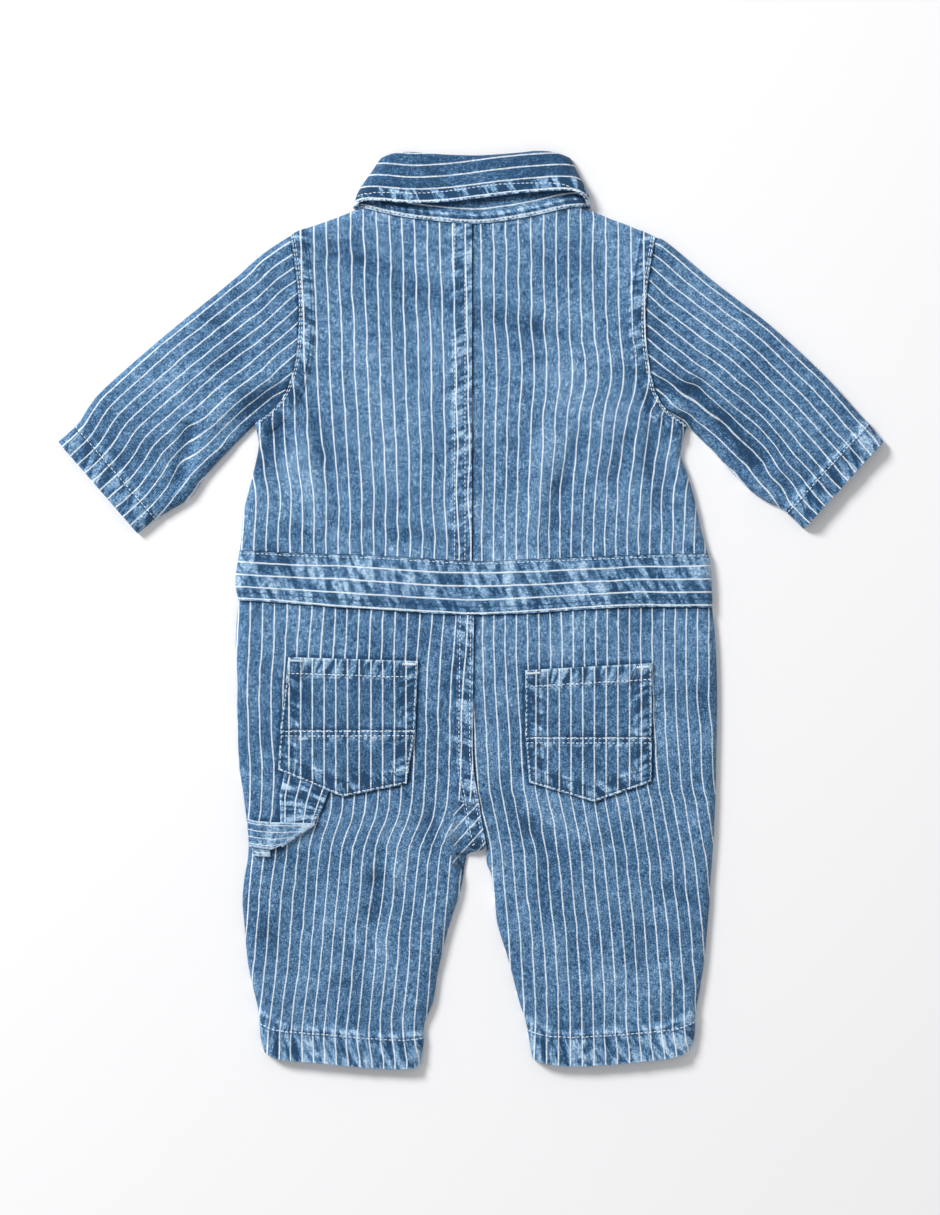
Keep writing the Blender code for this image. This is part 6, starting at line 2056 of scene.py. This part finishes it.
@dataclass
class Collar:
    """The stand, a flattened tube round the neck, and the fall folded over it, with two wings.

    Attributes:
        stand_low: Height of the stand's side edges, over the collar's wings.
        neck_fell: Width of the stand's stitched lower edge.
        neck_rows: Distances of its stitch rows from the neck seam.
        fall_crown: Height of the fall where it lies on the stand.
        fall_lift: How much more its free edge stands off.
        lift_reach: How far in from the free edge it does.
        side_roll: Rounding of the fall at its sides.
        fall_depth: From the free edge to the folded edge.
        fold_roll: Rounding of the folded edge.
        fold_low: Height at which the folded edge ends, inside the stand.
        band: Width of the topstitched band along the free edge.
        band_raise: How much it stands up.
        fall_shade: Tone of the fall, which is less faded than the rest.
    """

    stand_low: float = 2 * RIM
    fall_shade: float = -0.9
    neck_fell: float = 5.0
    neck_rows: tuple[float, ...] = (1.2, 3.4)
    fall_crown: float = CROWN + RIM
    fall_lift: float = 3.0
    lift_reach: float = 22.0
    side_roll: float = 7.0
    fall_depth: float = 28.0
    fold_roll: float = 2.5
    fold_low: float = CROWN - WALL
    band: float = 6.6
    band_raise: float = 0.4
    wing_spacing: float = 3.0                      # between the wings' grid lines
    fall_pitch: float = 7.2                        # from one of the fall's stripes to the next
    fall_start: float = 0.17                       # their shift, in pitches
    stand_start: float = 0.27                      # the shift of the stand's stripes

    def stand(self) -> Cloth:
        """The stand, lower at the front than at the back."""
        left, right = portion(STAND_LEFT, GAP), portion(STAND_RIGHT, GAP)
        neck = np.vstack([left[:1], shifted(smooth(NECK_SEAM), GAP)[1:-1], right[:1]])
        front_edge = np.vstack([left[:1], smooth(STAND_FRONT_EDGE)[1:-1], right[:1]])
        reach = length(left)
        rows = spread(reach, beside(7.5, *self.neck_rows, self.neck_fell, rolled=False), (0.0, 1.5)) / reach
        side_edges = [prolonged(left[::-1], EDGE_OVERRUN), prolonged(right, EDGE_OVERRUN)]
        rolled = beside(EDGE_ROLL)
        back = Patch(neck, smooth(STAND_TOP), left, right).grid(rows, rolled, rolled)
        front = Patch(front_edge, smooth(STAND_FRONT_TOP), left, right)
        lower = front.grid(rows, rolled, rolled, columns=back.shape[1])
        seams = [Seam(neck, self.neck_fell, 1.0, self.neck_rows, wear_and_painted_shade=1.6, shade=-0.3, seed=61),
                 # painted shadow: a wide dark line on the stand under the fall's lifted free edge
                 Seam(smooth(FREE_EDGE), pucker=0.0, rope=0.5, wear_and_painted_shade=-1.4, fringe=3.2, seed=64)]
        upper = sewn_cloth(back, seams, lying_height,
                           [Roll(edge, EDGE_ROLL, self.stand_low) for edge in side_edges], shade=0.1)
        under = plain_cloth(lower, RIM, [Roll(edge, RIM, self.stand_low) for edge in side_edges])
        away, run = measured(back, neck, COLLAR_REACH)
        stripes = np.stack([away / PITCH - self.stand_start, run / PITCH], axis=-1)
        self.stand_cloth = Cloth("collar_stand", upper, stripes, under, True)
        return self.stand_cloth

    def fall_height(self, points: Array) -> Array:
        """Height of the fall, which stands off towards its free edge."""
        away, _ = measured(points, smooth(FREE_EDGE), self.lift_reach)
        uneven = 0.25 * mottle(points, 16.0, 62)
        return self.fall_crown + self.fall_lift * (1 - np.clip(away / self.lift_reach, 0, 1)) + uneven

    def fall(self) -> Cloth:
        """The fall: over the stand at the back, round both sides, to a wing at each front."""
        left, right = smooth(column(FALL_SIDES, "left")), smooth(column(FALL_SIDES, "right"))
        side_edges = [prolonged(left[::-1], EDGE_OVERRUN), prolonged(right, EDGE_OVERRUN)]
        free, folded = smooth(FREE_EDGE), smooth(FOLDED_EDGE)
        low = beside(self.band + 1.5, 1.2, self.band, rolled=False)
        rows = spread(self.fall_depth, low, (0.0, 0.08, 0.3, 0.7, 1.2, 1.8, self.fold_roll)) / self.fall_depth
        rolls = ([Roll(folded[::-1], self.fold_roll, self.fold_low)]
                 + [Roll(edge, self.side_roll, RIM) for edge in side_edges])
        reach = beside(self.side_roll)
        back = Patch(free, folded, left, right).grid(rows, reach, reach)
        seams = [Seam(free, self.band, self.band_raise, (1.2, self.band), pucker=0.4, reach=4.0, rope=2.2,
                      wear_and_painted_shade=1.6, seed=63)]
        upper = sewn_cloth(back, seams, self.fall_height, rolls, shade=self.fall_shade)
        side_rolls = [Roll(edge, RIM, RIM) for edge in side_edges]
        wings = []
        for edge, top, side in ((WING_EDGE_LEFT, WING_TOP_LEFT, left),
                                (WING_EDGE_RIGHT, WING_TOP_RIGHT, right)):
            patch = Patch(smooth(edge), smooth(top), side, straight(edge[-1], top[-1]))
            wings.append(patch.grid(rows, beside(EDGE_ROLL), AT_HIDDEN, self.wing_spacing))
        layers = [plain_cloth(grid, 0.0, side_rolls) for grid in wings]
        joined = Walls(*(np.concatenate([one[:, :0:-1], middle, other[:, 1:]], axis=1)
                         for one, middle, other in zip(layers[0], upper, layers[1])))
        back_away, back_run = measured(back, free, COLLAR_REACH)
        wing_away = [rows[:, None] * self.fall_depth * np.ones(grid.shape[1]) for grid in wings]
        wing_run = [sign * measured(grid, side, SLEEVE_REACH)[0]
                    for sign, side, grid in ((-1, left, wings[0]), (1, right, wings[1]))]
        away = np.concatenate([wing_away[0][:, :0:-1], back_away, wing_away[1][:, 1:]], axis=1)
        run = np.concatenate([wing_run[0][:, :0:-1], back_run, length(free) + wing_run[1][:, 1:]], axis=1)
        stripes = np.stack([away / self.fall_pitch - self.fall_start, run / PITCH], axis=-1)
        self.wing_columns = wings[0].shape[1] - 1
        self.back_columns = back.shape[1]
        self.fall_cloth = Cloth("collar_fall", joined, stripes)
        return self.fall_cloth

    def pieces(self) -> list[Cloth]:
        """The stand and the fall."""
        return [self.stand(), self.fall()]

    def sew(self, pale: Sewing, indigo: Sewing) -> None:
        """Stitches the stand's lower edge and the fall's band."""
        for inset, thread in zip(self.neck_rows, (pale, indigo)):
            thread.row(self.stand_cloth.trace(Edge.BOTTOM, inset))
        for inset in (1.2, self.band):
            line = self.fall_cloth.trace(Edge.BOTTOM, inset)
            pale.row(line[self.wing_columns + 3:self.wing_columns + self.back_columns - 3])


# ---------------------------------------------------------------------------------------------
# Placket and buttons


@dataclass
class Closing:
    """The strip that carries the buttons, and the buttons below it.

    Attributes:
        radius: Radius of a button.
        count: Number of buttons.
        pitch: From one button to the next.
        first: How far the first one is below the placket's top, in pitches.
        sides: Points round a button.
    """

    radius: float = 5.5
    count: int = 5
    pitch: float = 33.0
    first: float = 0.4
    sides: int = 48

    # A button's section from its dished lower side round to its upper side: in from the rim, and height
    PROFILE = ((2.6, 0.35), (2.1, 0.15), (1.2, 0.02), (0.5, 0.08), (0.1, 0.35), (0.0, 0.6), (0.1, 0.9),
               (0.5, WALL))

    def pieces(self) -> list[Cloth]:
        """The placket."""
        foot = float(np.interp(0.0, BAND_TOP[:, 0], BAND_TOP[:, 1])) + 2 * RIM
        x, y = np.meshgrid(np.linspace(-PLACKET_HALF, PLACKET_HALF, 9), np.linspace(foot, PLACKET_TOP, 41))
        grid = np.stack([x, y], axis=-1)
        return [Cloth("front_placket", flat_cloth(grid, RIM), upright_stripes(grid))]

    def buttons(self, material: bpy.types.Material) -> None:
        """Makes the buttons: one outline turned round each button's axis, each in its CAD node's place.

        Args:
            material: Their finish.
        """
        turn = np.arange(self.sides) / self.sides * 2 * np.pi
        rings = np.array([(self.radius - inset, height) for inset, height in self.PROFILE])
        points = np.stack([rings[:, :1] * np.cos(turn), rings[:, :1] * np.sin(turn),
                           np.broadcast_to(rings[:, 1:], (len(rings), self.sides))], axis=-1).reshape(-1, 3)
        points = np.vstack([points, (0.0, 0.0, rings[0, 1]), (0.0, 0.0, rings[-1, 1])])
        index = np.arange(len(rings) * self.sides).reshape(len(rings), self.sides)
        index = np.concatenate([index, index[:, :1]], axis=1)
        quads = cells(index)
        low, high = np.full(self.sides, len(points) - 2), np.full(self.sides, len(points) - 1)
        faces = np.vstack([quads[:, [0, 1, 2]], quads[:, [0, 2, 3]],
                           np.stack([index[0, 1:], index[0, :-1], low], axis=-1),
                           np.stack([index[-1, :-1], index[-1, 1:], high], axis=-1)])
        for number in range(self.count):
            name = f"button_{number + 1}"
            centre = (0.0, PLACKET_TOP - self.pitch * (number + self.first), 0.0)
            button = new_object(f"{name}_turned", points + centre, faces, material)
            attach(button, BODY)
            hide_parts(name)
            log.info("%s: %d faces", button.name, len(faces))


# ---------------------------------------------------------------------------------------------
# Studio


@dataclass
class Studio:
    """The floor, the light and the camera straight above the garment.

    Attributes:
        floor_half: Half the side of the floor.
        floor_drop: How far it is under the garment.
        lens: Focal length of the camera.
        sensor: Width of its sensor.
        frame_long: The photograph's longer side on the floor, in metres.
        aim: Point under the camera's middle, in metres.
        surround: Strength of the white surround.
        key_place: Where the soft light hangs, in metres.
        key_size: Its width, in metres.
        key_power: Its power in watts.
    """

    floor_half: float = 3000.0
    floor_drop: float = 0.05
    lens: float = 100.0
    sensor: float = 36.0
    frame_long: float = 0.729
    aim: tuple[float, float] = (-0.0006, 0.0015)
    surround: float = 0.49
    key_place: tuple[float, float, float] = (-2.3, 2.0, 2.2)
    key_size: float = 1.2
    key_power: float = 142.0

    def floor(self, material: bpy.types.Material) -> None:
        """Lays the floor, a hair under the garment."""
        half, low = self.floor_half, -self.floor_drop
        corners = np.array([(-half, -half, low), (half, -half, low), (half, half, low), (-half, half, low)])
        new_object("floor", corners, np.array([[0, 1, 2, 3]]), material)

    def camera(self) -> None:
        """Puts the camera straight above, at the distance at which the frame fits."""
        data = bpy.data.cameras.new("camera")
        data.lens, data.sensor_width, data.sensor_fit = self.lens, self.sensor, "AUTO"
        camera = bpy.data.objects.new("camera", data)
        camera.location = (*self.aim, self.frame_long * self.lens / self.sensor)
        bpy.context.collection.objects.link(camera)
        bpy.context.scene.camera = camera

    def lights(self) -> None:
        """A white surround, and one wide soft light from the upper left."""
        world = bpy.data.worlds.new("surround")
        world.use_nodes = True
        background = world.node_tree.nodes["Background"]
        background.inputs["Color"].default_value = (1.0, 1.0, 1.0, 1.0)
        background.inputs["Strength"].default_value = self.surround
        bpy.context.scene.world = world
        data = bpy.data.lights.new("key", "AREA")
        data.shape, data.size, data.energy = "DISK", self.key_size, self.key_power
        key = bpy.data.objects.new("key", data)
        key.location = self.key_place
        key.rotation_euler = (-key.location).to_track_quat("-Z", "Y").to_euler()
        bpy.context.collection.objects.link(key)
        bpy.context.scene.view_settings.view_transform = "Standard"


def build_part(part: Any, label: str, denim: bpy.types.Material,
               threads: dict[str, bpy.types.Material]) -> None:
    """Args:
        part: The sub-assembly.
        label: Its name, which its stitches take too.
        denim: The finish of the cloth.
        threads: The finish of the pale and of the indigo stitches.
    """
    for cloth in part.pieces():
        piece = cloth.build(denim)
        width, long, area = cloth.flat_size()
        log.info("%s: %d faces, flat %.0f x %.0f mm", cloth.name, len(piece.data.polygons), width / MM,
                 long / MM)
    if hasattr(part, "sew"):
        sewings = {kind: Sewing(f"stitches_{kind}_{label}", seed=100 + len(label)) for kind in threads}
        part.sew(**sewings)
        for kind, sewing in sewings.items():
            if sewing.beads:
                stitches = sewing.build(threads[kind])
                log.info("%s: %d faces", stitches.name, len(stitches.data.polygons))


def main() -> None:
    """Builds every piece of the romper, then the studio."""
    logging.basicConfig(level=logging.INFO, format="%(name)s: %(message)s")
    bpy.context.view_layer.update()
    denim = StripedDenim().build()
    threads = {"pale": Thread().build(), "indigo": INDIGO_THREAD.build()}
    closing = Closing()
    for label, part in (
            ("bodice", Bodice()),
            ("sleeve_left", Sleeve("sleeve_left", shifted(ARM_LEFT, GAP), OVERARM_LEFT, UNDERARM_LEFT,
                                   CUFF_LEFT)),
            ("sleeve_right", Sleeve("sleeve_right", shifted(ARM_RIGHT, -GAP), OVERARM_RIGHT, UNDERARM_RIGHT,
                                    CUFF_RIGHT)),
            ("waistband", Waistband()), ("legs", Legs()),
            ("pocket_left", Pocket("left", POCKETS["left"], -73.8, 7.0)),
            ("pocket_right", Pocket("right", POCKETS["right"], 73.8, 7.0)),
            ("loop", SideLoop()), ("collar", Collar()), ("closing", closing)):
        build_part(part, label, denim, threads)
    closing.buttons(ButtonMetal().build())
    studio = Studio()
    studio.floor(FloorPaper().build())
    studio.camera()
    studio.lights()


if __name__ == "__main__":
    main()
